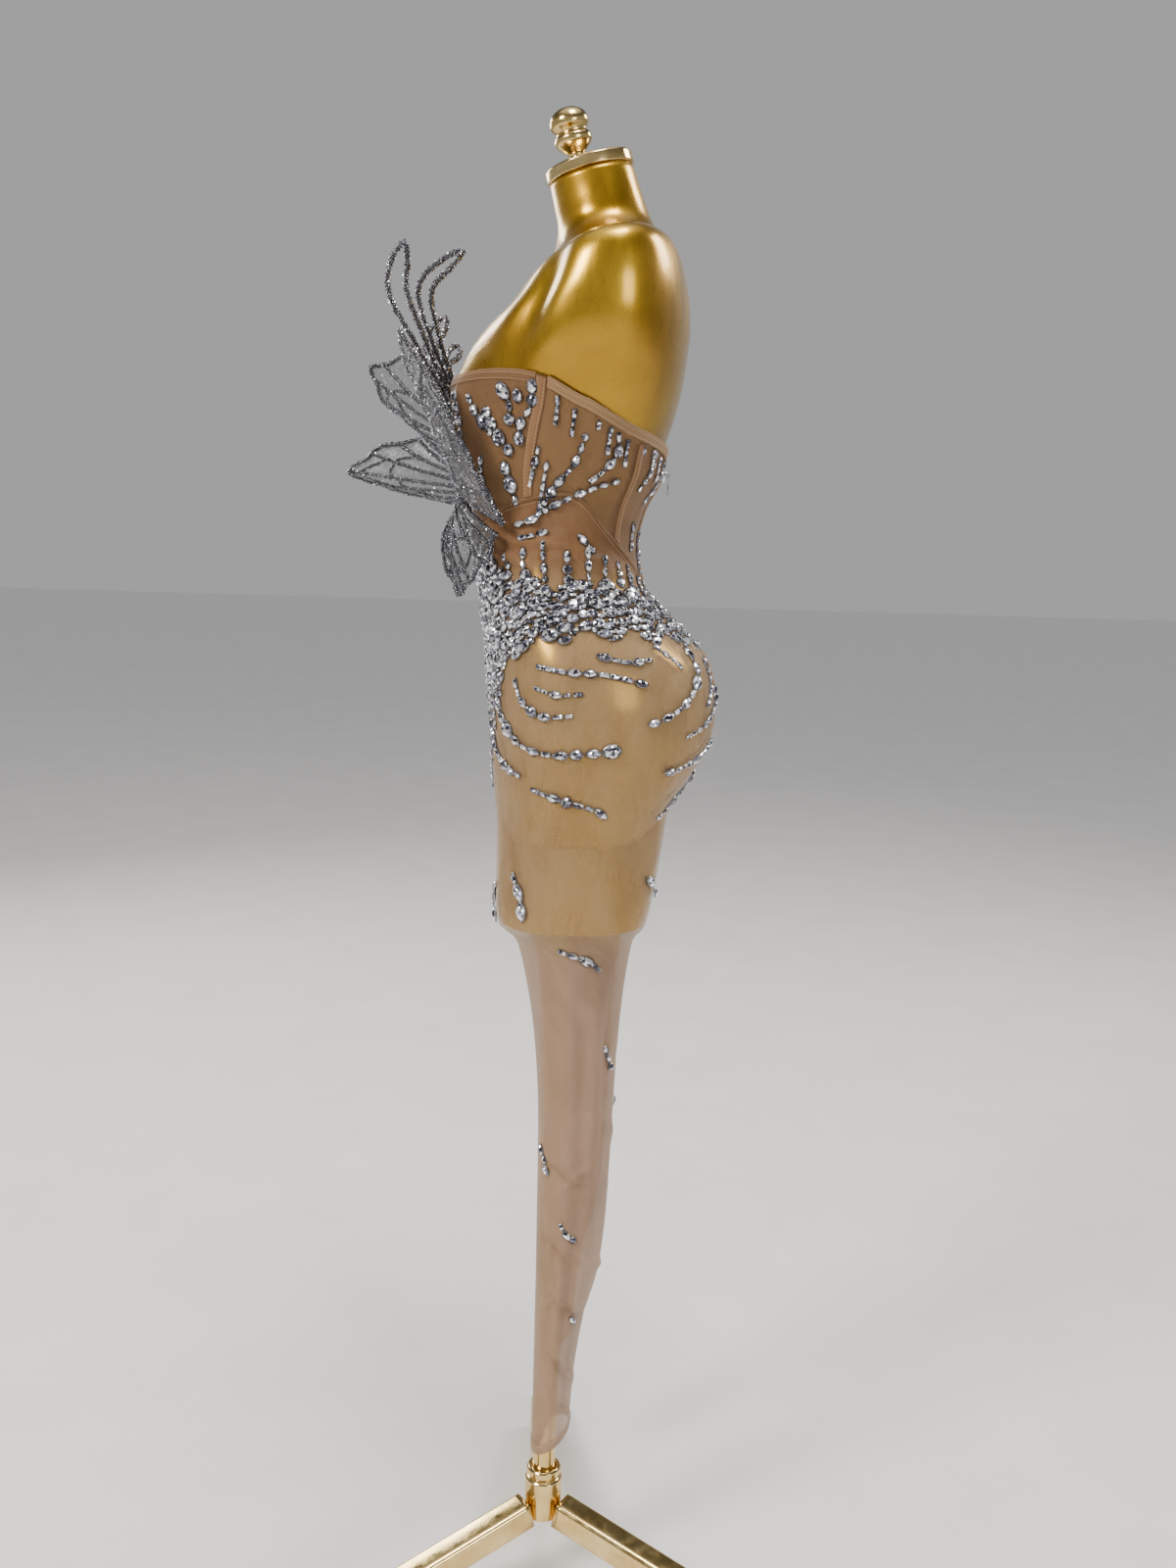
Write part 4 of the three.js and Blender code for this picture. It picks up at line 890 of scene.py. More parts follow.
def stand_leg(index, azimuth):
    """A sloping bar with its upper edges rounded and its ends eased."""
    w, h = LEG_BAR["width"] / 2, LEG_BAR["height"] / 2
    c = LEG_BAR["corner"]
    outline = [(-w, -h + 1), (-w + 1, -h), (w - 1, -h), (w, -h + 1)]
    for middle, start in ((w - c, 0), (-w + c, math.pi / 2)):
        for a in steps(8, start, start + math.pi / 2):
            outline.append((middle + c * math.cos(a), h - c + c * math.sin(a)))
    start, length = LEG_BAR["start"] / math.cos(LEG_SLOPE), LEG_BAR["reach"] / math.cos(LEG_SLOPE)
    turn = STAND @ Matrix.Rotation(math.radians(azimuth), 4, "Z")
    bar = turn @ Matrix.Translation((0, 0, LEG_BAR["hub_z"])) @ Matrix.Rotation(LEG_SLOPE, 4, "Y")
    stations = [(start, 0.92), (start + 1, 1)]
    stations += [(lerp(start + 6, length - 6, t), 1) for t in steps(12)]
    stations += [(length - 1.2, 1), (length - 0.4, 0.97), (length, 0.93)]
    rows = [[np.array(bar @ Vector((along, y * grow, z * grow))) for y, z in outline]
            for along, grow in stations]
    grid = Grid().rows(rows, closed=True, flip=True)
    first, last = ([grid.index(point, (0, 0)) for point in row] for row in (rows[0], rows[-1]))
    grid.faces += [first[::-1], last]
    grid.piece(f"stand_leg_{index}_brass", BRASS, "stand_metal", f"stand_leg_{index}")
    foot(index, turn @ Matrix.Translation((FOOT["radial"], 0, 0)), h)


def foot(index, matrix, half_bar):
    """A rubber pad whose top slopes as the bar above it does."""
    low = LEG_BAR["hub_z"] - FOOT["radial"] * math.tan(LEG_SLOPE)
    low -= (half_bar + SEAM_GAP) / math.cos(LEG_SLOPE)
    r = FOOT["radius"]
    profile = round_profile([(0, 0), (r, 0), (r, low), (0, low)], FOOT["edge"])
    rows = turned_rows(profile, 48, matrix, lambda x, z: -x * math.tan(LEG_SLOPE) * clamp(z / low) ** 2)
    grid = Grid().rows(rows, closed=True, flip=True)
    grid.piece(f"foot_{index}_pad", RUBBER, "foot_rubber", f"foot_{index}")


for index, azimuth in enumerate(STAND_LEGS, 1):
    stand_leg(index, azimuth)

for name in ("zip_slider", "zip_pull"):
    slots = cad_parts[name].data.materials
    slots.clear()
    slots.append(STEEL)


# Trims: small forms that repeat are gathered into one mesh each

class Scatter:
    """Copies of small templates, each set on a surface by its place, its direction and its normal."""

    def __init__(self):
        self.points, self.faces, self.count = [], [], 0

    def add(self, template, point, along, normal, scale):
        corners, faces = template
        normal = unit(normal)
        along = unit(along - normal * float(np.dot(along, normal)))
        across = np.cross(normal, along)
        turn = np.stack([along * scale[0], across * scale[1], normal * scale[2]])
        self.points.append(corners @ turn + point)
        self.faces.extend([tuple(index + self.count for index in face) for face in faces])
        self.count += len(corners)

    def piece(self, name, material, slot, smooth=False, replaced=()):
        points = np.concatenate(self.points)
        return mesh_piece(name, points, self.faces, material, replaced, smooth=smooth)


def ball_template():
    """A round bead of twenty faces."""
    g = (1 + math.sqrt(5)) / 2
    corners = np.array([(-1, g, 0), (1, g, 0), (-1, -g, 0), (1, -g, 0), (0, -1, g), (0, 1, g), (0, -1, -g),
                        (0, 1, -g), (g, 0, -1), (g, 0, 1), (-g, 0, -1), (-g, 0, 1)], float)
    faces = [(0, 11, 5), (0, 5, 1), (0, 1, 7), (0, 7, 10), (0, 10, 11), (1, 5, 9), (5, 11, 4), (11, 10, 2),
             (10, 7, 6), (7, 1, 8), (3, 9, 4), (3, 4, 2), (3, 2, 6), (3, 6, 8), (3, 8, 9), (4, 9, 5),
             (2, 4, 11), (6, 2, 10), (8, 6, 7), (9, 8, 1)]
    return corners / math.sqrt(1 + g * g), faces


def stitch_template():
    """A short thread that dips into the cloth at both ends."""
    rings = [(-1.0, 0.2, -0.6), (-0.6, 1.0, 0.5), (0.6, 1.0, 0.5), (1.0, 0.2, -0.6)]
    corners = [(x, r * math.cos(a), h + r * math.sin(a)) for x, r, h in rings
               for a in steps(4, 0, 2 * math.pi)[:-1]]
    faces = [(4 * i + j, 4 * i + (j + 1) % 4, 4 * i + 4 + (j + 1) % 4, 4 * i + 4 + j)
             for i in range(3) for j in range(4)]
    return np.array(corners), faces


CHIP = (np.array([(1, 0, 0), (-1, 0, 0), (0, 1, 0), (0, -1, 0), (0, 0, 1), (0, 0, -1)], float),
        [(0, 2, 4), (2, 1, 4), (1, 3, 4), (3, 0, 4), (2, 0, 5), (1, 2, 5), (3, 1, 5), (0, 3, 5)])
BALL = ball_template()
STITCH = stitch_template()
THREAD_RADIUS = 0.26
EAST = np.array((1.0, 0, 0))
SKY = np.array((0, 0, 1.0))


def stitch_line(path, normals, pitch=3.7, length=2.6):
    """Stitches along a path of points on the cloth."""
    left = pitch / 2
    for i in range(len(path) - 1):
        step = path[i + 1] - path[i]
        size = float(np.linalg.norm(step))
        while left < size:
            t = left / size
            point = path[i] + step * t
            thread.add(STITCH, point, step, normals[i] * (1 - t) + normals[i + 1] * t,
                       (length / 2, THREAD_RADIUS, THREAD_RADIUS))
            left += pitch
        left -= size


def torso_path(spots, lift, side="left"):
    """Points and normals on the torso's cloth for (angle in degrees, z) pairs of the side."""
    spots = [(math.radians(SIGNS[side] * a), z) for a, z in spots]
    return [skin(a, z, lift) for a, z in spots], [torso_normal(a, z) for a, z in spots]


thread = Scatter()


# A channel's section, as shares of its width and lifts: flat margins and a raised middle over the bone.
CHANNEL_SECTION = [(-0.5, 1.0), (-0.47, 2.1), (-0.4, 2.3), (-0.33, 2.0), (-0.25, 2.6), (-0.12, 3.1), (0, 3.2)]
CHANNEL_SECTION += [(-share, lift) for share, lift in CHANNEL_SECTION[-2::-1]]


def channel(side, where, degrees, drop):
    """A boning channel: a stitched tape with a bone under its middle."""
    def spots(share, below, above):
        a = degrees + share * CHANNEL_WIDTH
        return lambda t: (a, lerp(top_z(a) - drop - below, seam_z(a) + above, t))

    columns = [(spots(share, 0, 3), lift) for share, lift in CHANNEL_SECTION]
    rows = [[(*spot(t), lift) for spot, lift in columns] for t in steps(64)]
    node = f"channel_{where}_{side}"
    strip(f"{node}_tape", rows, CHANNEL_TAPE, "channel_tape", side, [node])
    for share in (-0.34, 0.34):
        stitch_line(*torso_path([spots(share, 1, 4)(t) for t in steps(40)], 2.15, side))


def binding(side):
    """Elastic folded over the top edge, with ribs along it."""
    start = SEAM_FRONT + 0.6 * CHANNEL_WIDTH
    ribs = [(1.0, 0.2), (1.3, 1.2), (1.2, 2.2), (0.8, 2.9)]
    ribs += [(rise, 3.1 + 0.16 * math.cos(rise * 2 * math.pi / 1.7)) for rise in steps(22, 0.3, -7.9)]
    ribs += [(-8.3, 2.6), (-8.5, 1.6), (-8.5, 1.1)]
    rows = [[(a, top_z(a) + rise, lift) for a in steps(86, start, BACK_LIMIT)] for rise, lift in ribs]
    strip(f"binding_{side}_elastic", rows, BINDING, "elastic_binding", side, [f"binding_{side}"])
    for drop in (1.6, 6.6):
        spots = [(a, top_z(a) - drop) for a in steps(80, start + 1, BACK_LIMIT - 2)]
        stitch_line(*torso_path(spots, 3.28, side), pitch=3.2, length=2.3)


def back_angle(x, z):
    """The angle in degrees at which the back of the torso is x millimetres from its middle."""
    _, width, _, _, _, power, *_ = at(TORSO, z)
    return 180 - math.degrees(math.asin((x / width) ** (power / 2)))


ZIP = {"top": 1226.0, "bottom": 985.0, "width": 9.0, "slider_z": 1214.0}


TAPE_SECTION = ((ZIP["width"], 1.1), (ZIP["width"] - 0.2, 1.9), (6.5, 2.1),
                (3.2, 2.2), (1.6, 2.5), (0.5, 2.6))


def zip_tape(side):
    rows = [[(back_angle(x, z), z, lift) for x, lift in TAPE_SECTION]
            for z in steps(96, ZIP["top"], ZIP["bottom"])]
    strip(f"zip_tape_{side}_weave", rows, ZIP_TAPE, "zip_tape", side, [f"zip_tape_{side}"])
    levels = steps(60, ZIP["top"] - 2, ZIP["bottom"] + 2)
    stitch_line(*torso_path([(back_angle(ZIP["width"] - 1.6, z), z) for z in levels], 2.15, side))


def zip_coil():
    """Interlocked teeth below the slider, and the parted ends above it."""
    coil = Scatter()
    pitch = 0.9
    count = int((ZIP["top"] - 3 - ZIP["bottom"] - 4) / pitch)
    for i in range(count):
        z = ZIP["bottom"] + 4 + i * pitch
        sign = 1 if i % 2 else -1
        parted = smoothstep(z, ZIP["slider_z"] - 4, ZIP["slider_z"] + 8) * 1.6
        angle = math.radians(sign * back_angle(0.75 + parted, z))
        coil.add(BALL, skin(angle, z, 2.95), EAST, torso_normal(angle, z), (1.75, 0.52, 0.75))
    coil.piece("zip_teeth", ZIP_COIL, "zip_metal", smooth=True)


def hook_and_eye():
    """A wire hook and loop above the zip, at the ends of the binding."""
    wire = Scatter()
    z0 = ZIP["top"] + 4.5

    def bead(x, z, lift):
        angle = math.radians(math.copysign(back_angle(max(abs(x), 0.05), z), x))
        wire.add(BALL, skin(angle, z, lift), EAST, torso_normal(angle, z), (0.42, 0.42, 0.36))

    for sign, bend in ((1, 1.0), (-1, 0.55)):
        for loop in (-1.7, 1.7):
            for a in steps(12, 0, 2 * math.pi)[:-1]:
                bead(sign * (4.2 + math.cos(a)), z0 + loop + math.sin(a), 3.7)
        for t in steps(16):
            bead(sign * (3.2 - 3.6 * bend * t), z0 + 0.9 * math.sin(t * math.pi) * sign, 3.9)
    wire.piece("hook_and_eye", STEEL, "zip_metal", smooth=True)


def front_edge():
    """The front panel's top edge, turned in and stitched twice."""
    limit = SEAM_FRONT - 2.6
    profile = [(0.5, 0.1), (0.9, 0.9), (0.5, 1.7), (-1, 1.9), (-4, 1.7), (-8, 1.7), (-9, 1.4)]
    rows = [[(a, top_z(a) + rise, lift) for a in steps(96, -limit, limit)] for rise, lift in profile]
    strip("bodice_front_turned_edge", rows, BODICE_MESH)
    for drop in (2.2, 7.6):
        stitch_line(*torso_path([(a, top_z(a) - drop) for a in steps(90, -limit, limit)], 1.85))


def waist_roll():
    """The waist seam's turnings, rolled up into a soft ridge."""
    profile = [(2.2, 1.1), (1.9, 1.8), (1.1, 2.5), (0.1, 2.7), (-0.9, 2.4), (-1.7, 1.8), (-2.0, 1.1)]
    limit = BACK_LIMIT - 3.4
    rows = [[(a, seam_z(a) + rise, lift) for a in steps(190, -limit, limit)] for rise, lift in profile]
    strip("waist_seam_roll", rows, BODICE_MESH)
    stitch_line(*torso_path([(a, seam_z(a) - 4.2) for a in steps(180, -174, 174)], 1.35))


def body_seam(name, front, z_top):
    """A felled seam down the centre front or the centre back, across both lower pieces."""
    across = [(-3.0, 1.1), (-2.8, 1.7), (-1.2, 1.8), (0, 2.1), (1.2, 1.8), (2.8, 1.7), (3.0, 1.1)]
    low = CROTCH_Z + CROTCH_RISE

    def angle_at(x, z):
        a = 180 - back_angle(abs(x), z)
        return math.copysign(a if front else 180 - a, x)

    rows = [[(angle_at(x, z), z, lift) for x, lift in across][::1 if front else -1]
            for z in steps(70, z_top, low + 2)]
    strip(name, rows, BODICE_MESH)
    for x in (-2.2, 2.2):
        stitch_line(*torso_path([(angle_at(x, z), z) for z in steps(60, z_top, low + 3)], 1.85))


def leg_strip(name, leg, rows):
    points = [[leg_skin(leg, key, t, lift) for key, t, lift in row] for row in rows]
    if leg == "right":
        points = [mirror(row)[::-1] for row in points]
    Grid().rows(points).piece(name, BODICE_MESH, "stretch_mesh")


def leg_normals(leg, keys, points):
    """The points and their normals, mirrored for the right leg."""
    normals = [leg_out(key, point) for key, point in zip(keys, points)]
    return (points, normals) if leg == "left" else (mirror(points), mirror(normals))


def leg_stitches(leg, spots, lift):
    points = [leg_skin(leg, key, t, lift) for key, t in spots]
    stitch_line(*leg_normals(leg, [key for key, _ in spots], points))


HEM_TURN = 11
INSIDE_KEY = 1.5


def leg_trims(leg):
    """The hem, turned up and stitched, and the inside leg seam."""
    height = RIM_Z - HEM_Z[leg]
    turn = HEM_TURN / height
    hem = [(turn + 0.6 / height, 1.1), (turn, 1.6), (1.5 / height, 1.7),
           (-0.4 / height, 1.3), (-0.6 / height, 0.6)]
    leg_strip(f"hem_{leg}", leg, [[(key, t, lift) for key in steps(96, 0, 2)] for t, lift in hem])
    leg_stitches(leg, [(key, turn * 0.8) for key in steps(90, 0, 2)], 1.75)
    seam = ((-0.036, 0.9), (-0.03, 1.5), (0, 2.0), (0.03, 1.5), (0.036, 0.9))
    rows = [[(INSIDE_KEY + away, t, lift) for away, lift in seam] for t in steps(120, 0.995, turn)]
    leg_strip(f"inside_seam_{leg}", leg, rows)
    for away in (-0.025, 0.025):
        leg_stitches(leg, [(INSIDE_KEY + away, t) for t in steps(150, 0.99, turn)], 1.7)


for side in SIGNS:
    channel(side, "front", SEAM_FRONT, 1)
    channel(side, "back", SEAM_BACK, 12)
    binding(side)
    zip_tape(side)
    leg_trims(side)
front_edge()
waist_roll()
body_seam("centre_front_seam", True, seam_z(0) - 5)
body_seam("centre_back_seam", False, ZIP["bottom"] - 1)
zip_coil()
hook_and_eye()
thread.piece("stitches", THREAD, "stretch_mesh", smooth=True)


# The butterfly: organza wings, beaded wire, a beaded body and looped feelers

WINGS = {
    "upper_left": {"root": (1260, 1214), "cup": 20, "margin": [
        (58, -172, 1346), (100, -152, 1320), (130, -122, 1270), (136, -88, 1206), (122, -62, 1160)]},
    "lower_left": {"root": (1206, 1180), "cup": 15, "margin": [
        (114, -70, 1150), (122, -76, 1127), (112, -94, 1104), (92, -106, 1090), (62, -122, 1112)]},
    "upper_right": {"root": (1260, 1222), "cup": 9, "margin": [
        (-88, -186, 1338), (-114, -226, 1327), (-128, -216, 1296), (-124, -186, 1272), (-100, -164, 1256)]},
    "lower_right": {"root": (1214, 1180), "cup": 7, "margin": [
        (-116, -172, 1252), (-148, -220, 1244), (-152, -256, 1217), (-114, -196, 1196), (-58, -136, 1184)]},
}
FEELERS = {
    "left_outer": (9, [(3.5, -117, 1268), (22, -150, 1330), (66, -174, 1388), (92, -163, 1423)]),
    "left_inner": (7, [(3.5, -118, 1286), (14, -138, 1336), (46, -148, 1390), (80, -108, 1419)]),
    "right_outer": (7, [(-3.5, -117, 1268), (-46, -154, 1322), (-96, -152, 1364), (-108, -143, 1382)]),
    "right_inner": (6, [(-3.5, -118, 1286), (-34, -136, 1320), (-82, -132, 1340), (-98, -129, 1352)]),
}
MOUND = {"half_width": 7.0, "top": 1296.0, "bottom": 1172.0, "gap": 1.0, "edge": 1.4, "crown": 9.0}
VEINS = (0.0, 0.15, 0.32, 0.5, 0.68, 0.86, 1.0)
GLITTER_ON = {"upper_left": 4200, "lower_left": 1900, "upper_right": 700, "lower_right": 600}
beads = Scatter()
wires = Scatter()
chips = Scatter()
LAID = WALL + LAY_GAP
ROOT_GAP = 5


def wing_point(wing, side, v, u):
    root_z = lerp(*wing["root"], v)
    root = torso_point(0, root_z)
    root[1] -= stand_off(0, root_z) + LAID + ROOT_GAP
    root[0] = side * 2
    margin = spline_point([np.array(p, float) for p in wing["margin"]], v)
    scallop = 0.975 + 0.025 * math.cos(8 * math.pi * v)
    tip = lerp(root, margin, scallop)
    crinkle = 0.9 * math.sin(31 * v + 9 * u) * math.sin(17 * u + 5 * v) * u + 0.5 * math.sin(63 * v) * u
    lean = wing["cup"] * math.sin(math.pi * u ** 0.8) + crinkle
    return lerp(root, tip, u) + np.array((0, -lean, 0.0))


def random_direction():
    return unit(np.array([random.uniform(-1, 1) for _ in range(3)]))


def chip(point, size):
    """One faceted sequin bead, turned any way."""
    grow = size * random.uniform(0.7, 1.3)
    chips.add(CHIP, point, random_direction(), random_direction(), (grow, grow, grow))


def bead_run(path, radius, pitch, varied, coat=3):
    """Beads along a path, faceted chips all over them, and the wire that they are wound on."""
    left = 0.0
    for a, b in zip(path, path[1:]):
        step = b - a
        size = float(np.linalg.norm(step))
        if size < 1e-6:
            continue
        aside = np.cross(step, SKY + 0.01)
        wires.add(BALL, (a + b) / 2, step, aside, (size * 0.62, radius * 0.5, radius * 0.5))
        while left < size:
            grow = radius * (1 + random.uniform(-varied, varied))
            spot = a + step * (left / size)
            beads.add(BALL, spot, step, aside, (grow * 1.15, grow, grow))
            for _ in range(coat):
                out = unit(np.cross(step, random_direction())) * radius * 1.05
                chip(spot + out + random_direction() * 0.4, 0.85)
            left += pitch
        left -= size


def wing(name):
    data = WINGS[name]
    side = 1 if name.endswith("left") else -1
    us = steps(30, 0.05, 1)
    rows = [[wing_point(data, side, v, u) for u in us] for v in steps(96)]
    grid = Grid().rows(rows, flip=side < 0)
    grid.piece(f"wing_{name}_organza", ORGANZA, "organza", f"wing_{name}")
    for v in VEINS:
        end = 1.0 if v in (0.0, 1.0) else 0.985
        bead_run([wing_point(data, side, v, u) for u in steps(40, 0.05, end)], 2.0, 2.6, 0.2)
    bead_run([wing_point(data, side, v, 1.0) for v in steps(120)], 2.6, 2.9, 0.2, coat=7)
    for low, high, at_u, bow in ((0.15, 0.5, 0.52, 0.16), (0.5, 0.86, 0.46, 0.14), (0.32, 0.68, 0.8, 0.08)):
        path = [wing_point(data, side, v, at_u + bow * math.sin(math.pi * (v - low) / (high - low)))
                for v in steps(24, low, high)]
        bead_run(path, 1.7, 2.4, 0.2)
    for _ in range(GLITTER_ON[name]):
        v, u = random.random(), random.uniform(0.02, 1) ** 0.8
        chip(wing_point(data, side, v, u) + np.array((0, random.choice((-0.8, 0.8)), 0)), 0.6)


def feeler(name):
    width, spine = FEELERS[name]
    spine = [np.array(p, float) for p in spine]
    outward = (0, 0.15, 0.4, 0.65, 0.88, 1)
    swell = (2.7, 2.7, width * 0.6, width, width * 0.8, 0)

    def side_of(sign):
        made = []
        for t, grow in zip(outward, swell):
            tangent = spline_point(spine, min(t + 1e-3, 1)) - spline_point(spine, max(t - 1e-3, 0))
            made.append(spline_point(spine, t) + unit(np.cross(tangent, EAST)) * sign * grow)
        return made

    loop = side_of(1) + side_of(-1)[::-1][1:]
    path = [spline_point(loop, t, closed=True) for t in steps(110)]
    bead_run(path, 2.6, 3.2, 0.15, coat=11)


def mound_spot(u, v, sink=0.0):
    z = lerp(MOUND["top"], MOUND["bottom"], (v + 1) / 2)
    x = u * MOUND["half_width"] * (1 - 0.55 * v ** 4)
    angle = math.copysign(math.asin((abs(x) / at(TORSO, z)[1]) ** 1.12), x)
    mound = math.sqrt(max(0, 1 - u * u)) * (1 - v ** 6)
    lift = WALL + MOUND["gap"] + (MOUND["edge"] + MOUND["crown"] * mound) * (1 - sink)
    point = torso_point(angle, z) + torso_normal(angle, z) * (stand_off(angle, z) + lift)
    return point, torso_normal(angle, z)


def butterfly_body():
    rows = [[mound_spot(u, v, 0.12)[0] for u in steps(14, -1, 1)] for v in steps(48, -1, 1)]
    Grid().rows(rows).piece("butterfly_body_padding", SETTING, "beaded_wire", "butterfly_body")
    for row, v in enumerate(steps(50, -0.985, 0.985)):
        for u in steps(8, -0.94, 0.94):
            u += 0.06 if row % 2 else -0.06
            point, normal = mound_spot(clamp(u, -1, 1), v)
            bulge = normal + EAST * u * 0.9
            grow = 1.35 * (1 + random.uniform(-0.12, 0.2))
            beads.add(BALL, point, SKY, bulge, (grow, grow, grow))


random.seed(11)
for name in WINGS:
    wing(name)
for name in FEELERS:
    feeler(name)
butterfly_body()
beads.piece("butterfly_beads", BEAD, "beaded_wire", smooth=True)
chips.piece("butterfly_glitter", GLITTER, "beaded_wire")
butterfly_wire = wires.piece("butterfly_wire", SETTING, "beaded_wire", smooth=True)
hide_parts(*[f"feeler_{name}" for name in FEELERS])


# Crystals, sewn on in strands, fans and a dense belt. Each stone has its own silver cup.

def tiered(outline, count, tiers):
    """Corners of rings of the outline, by tiers of (share of the size, height, shift along the ring)."""
    corners = []
    for share, height, shift in tiers:
        for i in range(count):
            x, y = outline(2 * math.pi * (i + shift) / count)
            corners.append((x * share, y * share, height))
    return corners


def stone_template(outline, count):
    """A cut stone: rings of facets from its girdle up to a flat table. Its length runs along x."""
    tiers = ((1.0, 0.12, 0), (1.0, 0.42, 0), (0.74, 0.8, 0.5), (0.44, 1.0, 0))
    corners, faces = tiered(outline, count, tiers), []
    for tier in range(3):
        low, high = tier * count, (tier + 1) * count
        for i in range(count):
            k = (i + 1) % count
            if tiers[tier][2] > tiers[tier + 1][2]:
                faces += [(low + i, high + k, high + i), (low + i, low + k, high + k)]
            else:
                faces += [(low + i, low + k, high + i), (low + k, high + k, high + i)]
    faces.append(tuple(range(3 * count, 4 * count)))
    return np.array(corners), faces


def cup_template(outline, count):
    corners, faces = tiered(outline, count, ((1.16, 0.0, 0), (1.14, 0.34, 0), (1.03, 0.5, 0))), []
    for low in (0, count):
        for i in range(count):
            k = (i + 1) % count
            faces.append((low + i, low + k, low + count + k, low + count + i))
    return np.array(corners), faces


def ellipse(a):
    return math.cos(a), math.sin(a)


def leaf(a):
    return math.cos(a), math.copysign(abs(math.sin(a)) ** 1.45, math.sin(a))


def brick(a):
    return tuple(math.copysign(abs(value) ** 0.25, value) for value in (math.cos(a), math.sin(a)))


# Kinds of stone: outline, facets round, length, width, height.
STONES = {
    "M": (leaf, 12, 14.0, 8.0, 4.2),
    "m": (leaf, 10, 11.0, 6.2, 3.4),
    "O": (ellipse, 12, 16.0, 12.0, 5.2),
    "o": (ellipse, 12, 12.0, 9.4, 4.4),
    "R": (ellipse, 12, 10.8, 10.8, 4.8),
    "r": (ellipse, 10, 7.0, 7.0, 3.4),
    "d": (ellipse, 8, 3.8, 3.8, 2.0),
    "B": (brick, 8, 9.6, 4.8, 2.9),
    "b": (brick, 8, 7.6, 4.0, 2.5),
}
TEMPLATES = {kind: (stone_template(outline, count), cup_template(outline, count))
             for kind, (outline, count, *_) in STONES.items()}
STONE_GAP = 0.9


class Crystals:
    def __init__(self):
        self.stones, self.cups = Scatter(), Scatter()

    def set(self, kind, point, along, normal, scale=1.0, tilt=0.12):
        _, _, length, width, height = STONES[kind]
        stone, cup = TEMPLATES[kind]
        lean = normal + np.array([random.uniform(-tilt, tilt) for _ in range(3)])
        size = (length / 2 * scale, width / 2 * scale, height * scale)
        self.stones.add(stone, point, along, lean, size)
        self.cups.add(cup, point, along, lean, size)

    def strand(self, points, normals, pattern, scale=1.0, end_scale=None, end_gap=3.6):
        """Stones along a path, in the order of the pattern, which repeats. They part towards its end."""
        end_scale = scale if end_scale is None else end_scale
        ends = [0.0]
        for a, b in zip(points, points[1:]):
            ends.append(ends[-1] + float(np.linalg.norm(b - a)))
        reach, n = 0.0, 0
        while True:
            grow = lerp(scale, end_scale, clamp(reach / ends[-1]))
            kind = pattern[n % len(pattern)]
            length = STONES[kind][2] * grow
            middle = reach + length / 2
            if middle + length * 0.3 > ends[-1]:
                return
            i = max(k for k in range(len(ends) - 1) if ends[k] <= middle)
            t = (middle - ends[i]) / max(ends[i + 1] - ends[i], 1e-9)
            point = lerp(points[i], points[i + 1], t)
            self.set(kind, point, points[i + 1] - points[i], normals[i], grow * random.uniform(0.93, 1.06))
            gap = lerp(STONE_GAP, end_gap, clamp(reach / ends[-1]) ** 1.5)
            reach += length + gap * random.uniform(0.7, 1.3)
            n += 1

    def pieces(self, name):
        self.stones.piece(f"{name}_stones", CRYSTAL, "stretch_mesh")
        self.cups.piece(f"{name}_cups", SETTING, "stretch_mesh")


def smooth_path(spots, count=46):
    spots = [np.array((a, b, 0.0)) for a, b in spots]
    return [spline_point(spots, t)[:2] for t in steps(count)]


def varied(spots, side, angle_by, z_by):
    """The other side's strands are like these, a little longer, shorter or turned."""
    if side == "left":
        return spots
    turn, drop = random.uniform(-angle_by, angle_by), random.uniform(-z_by, z_by)
    return [(a + turn * (0.6 + 0.4 * n), z + drop) for n, (a, z) in enumerate(spots)]


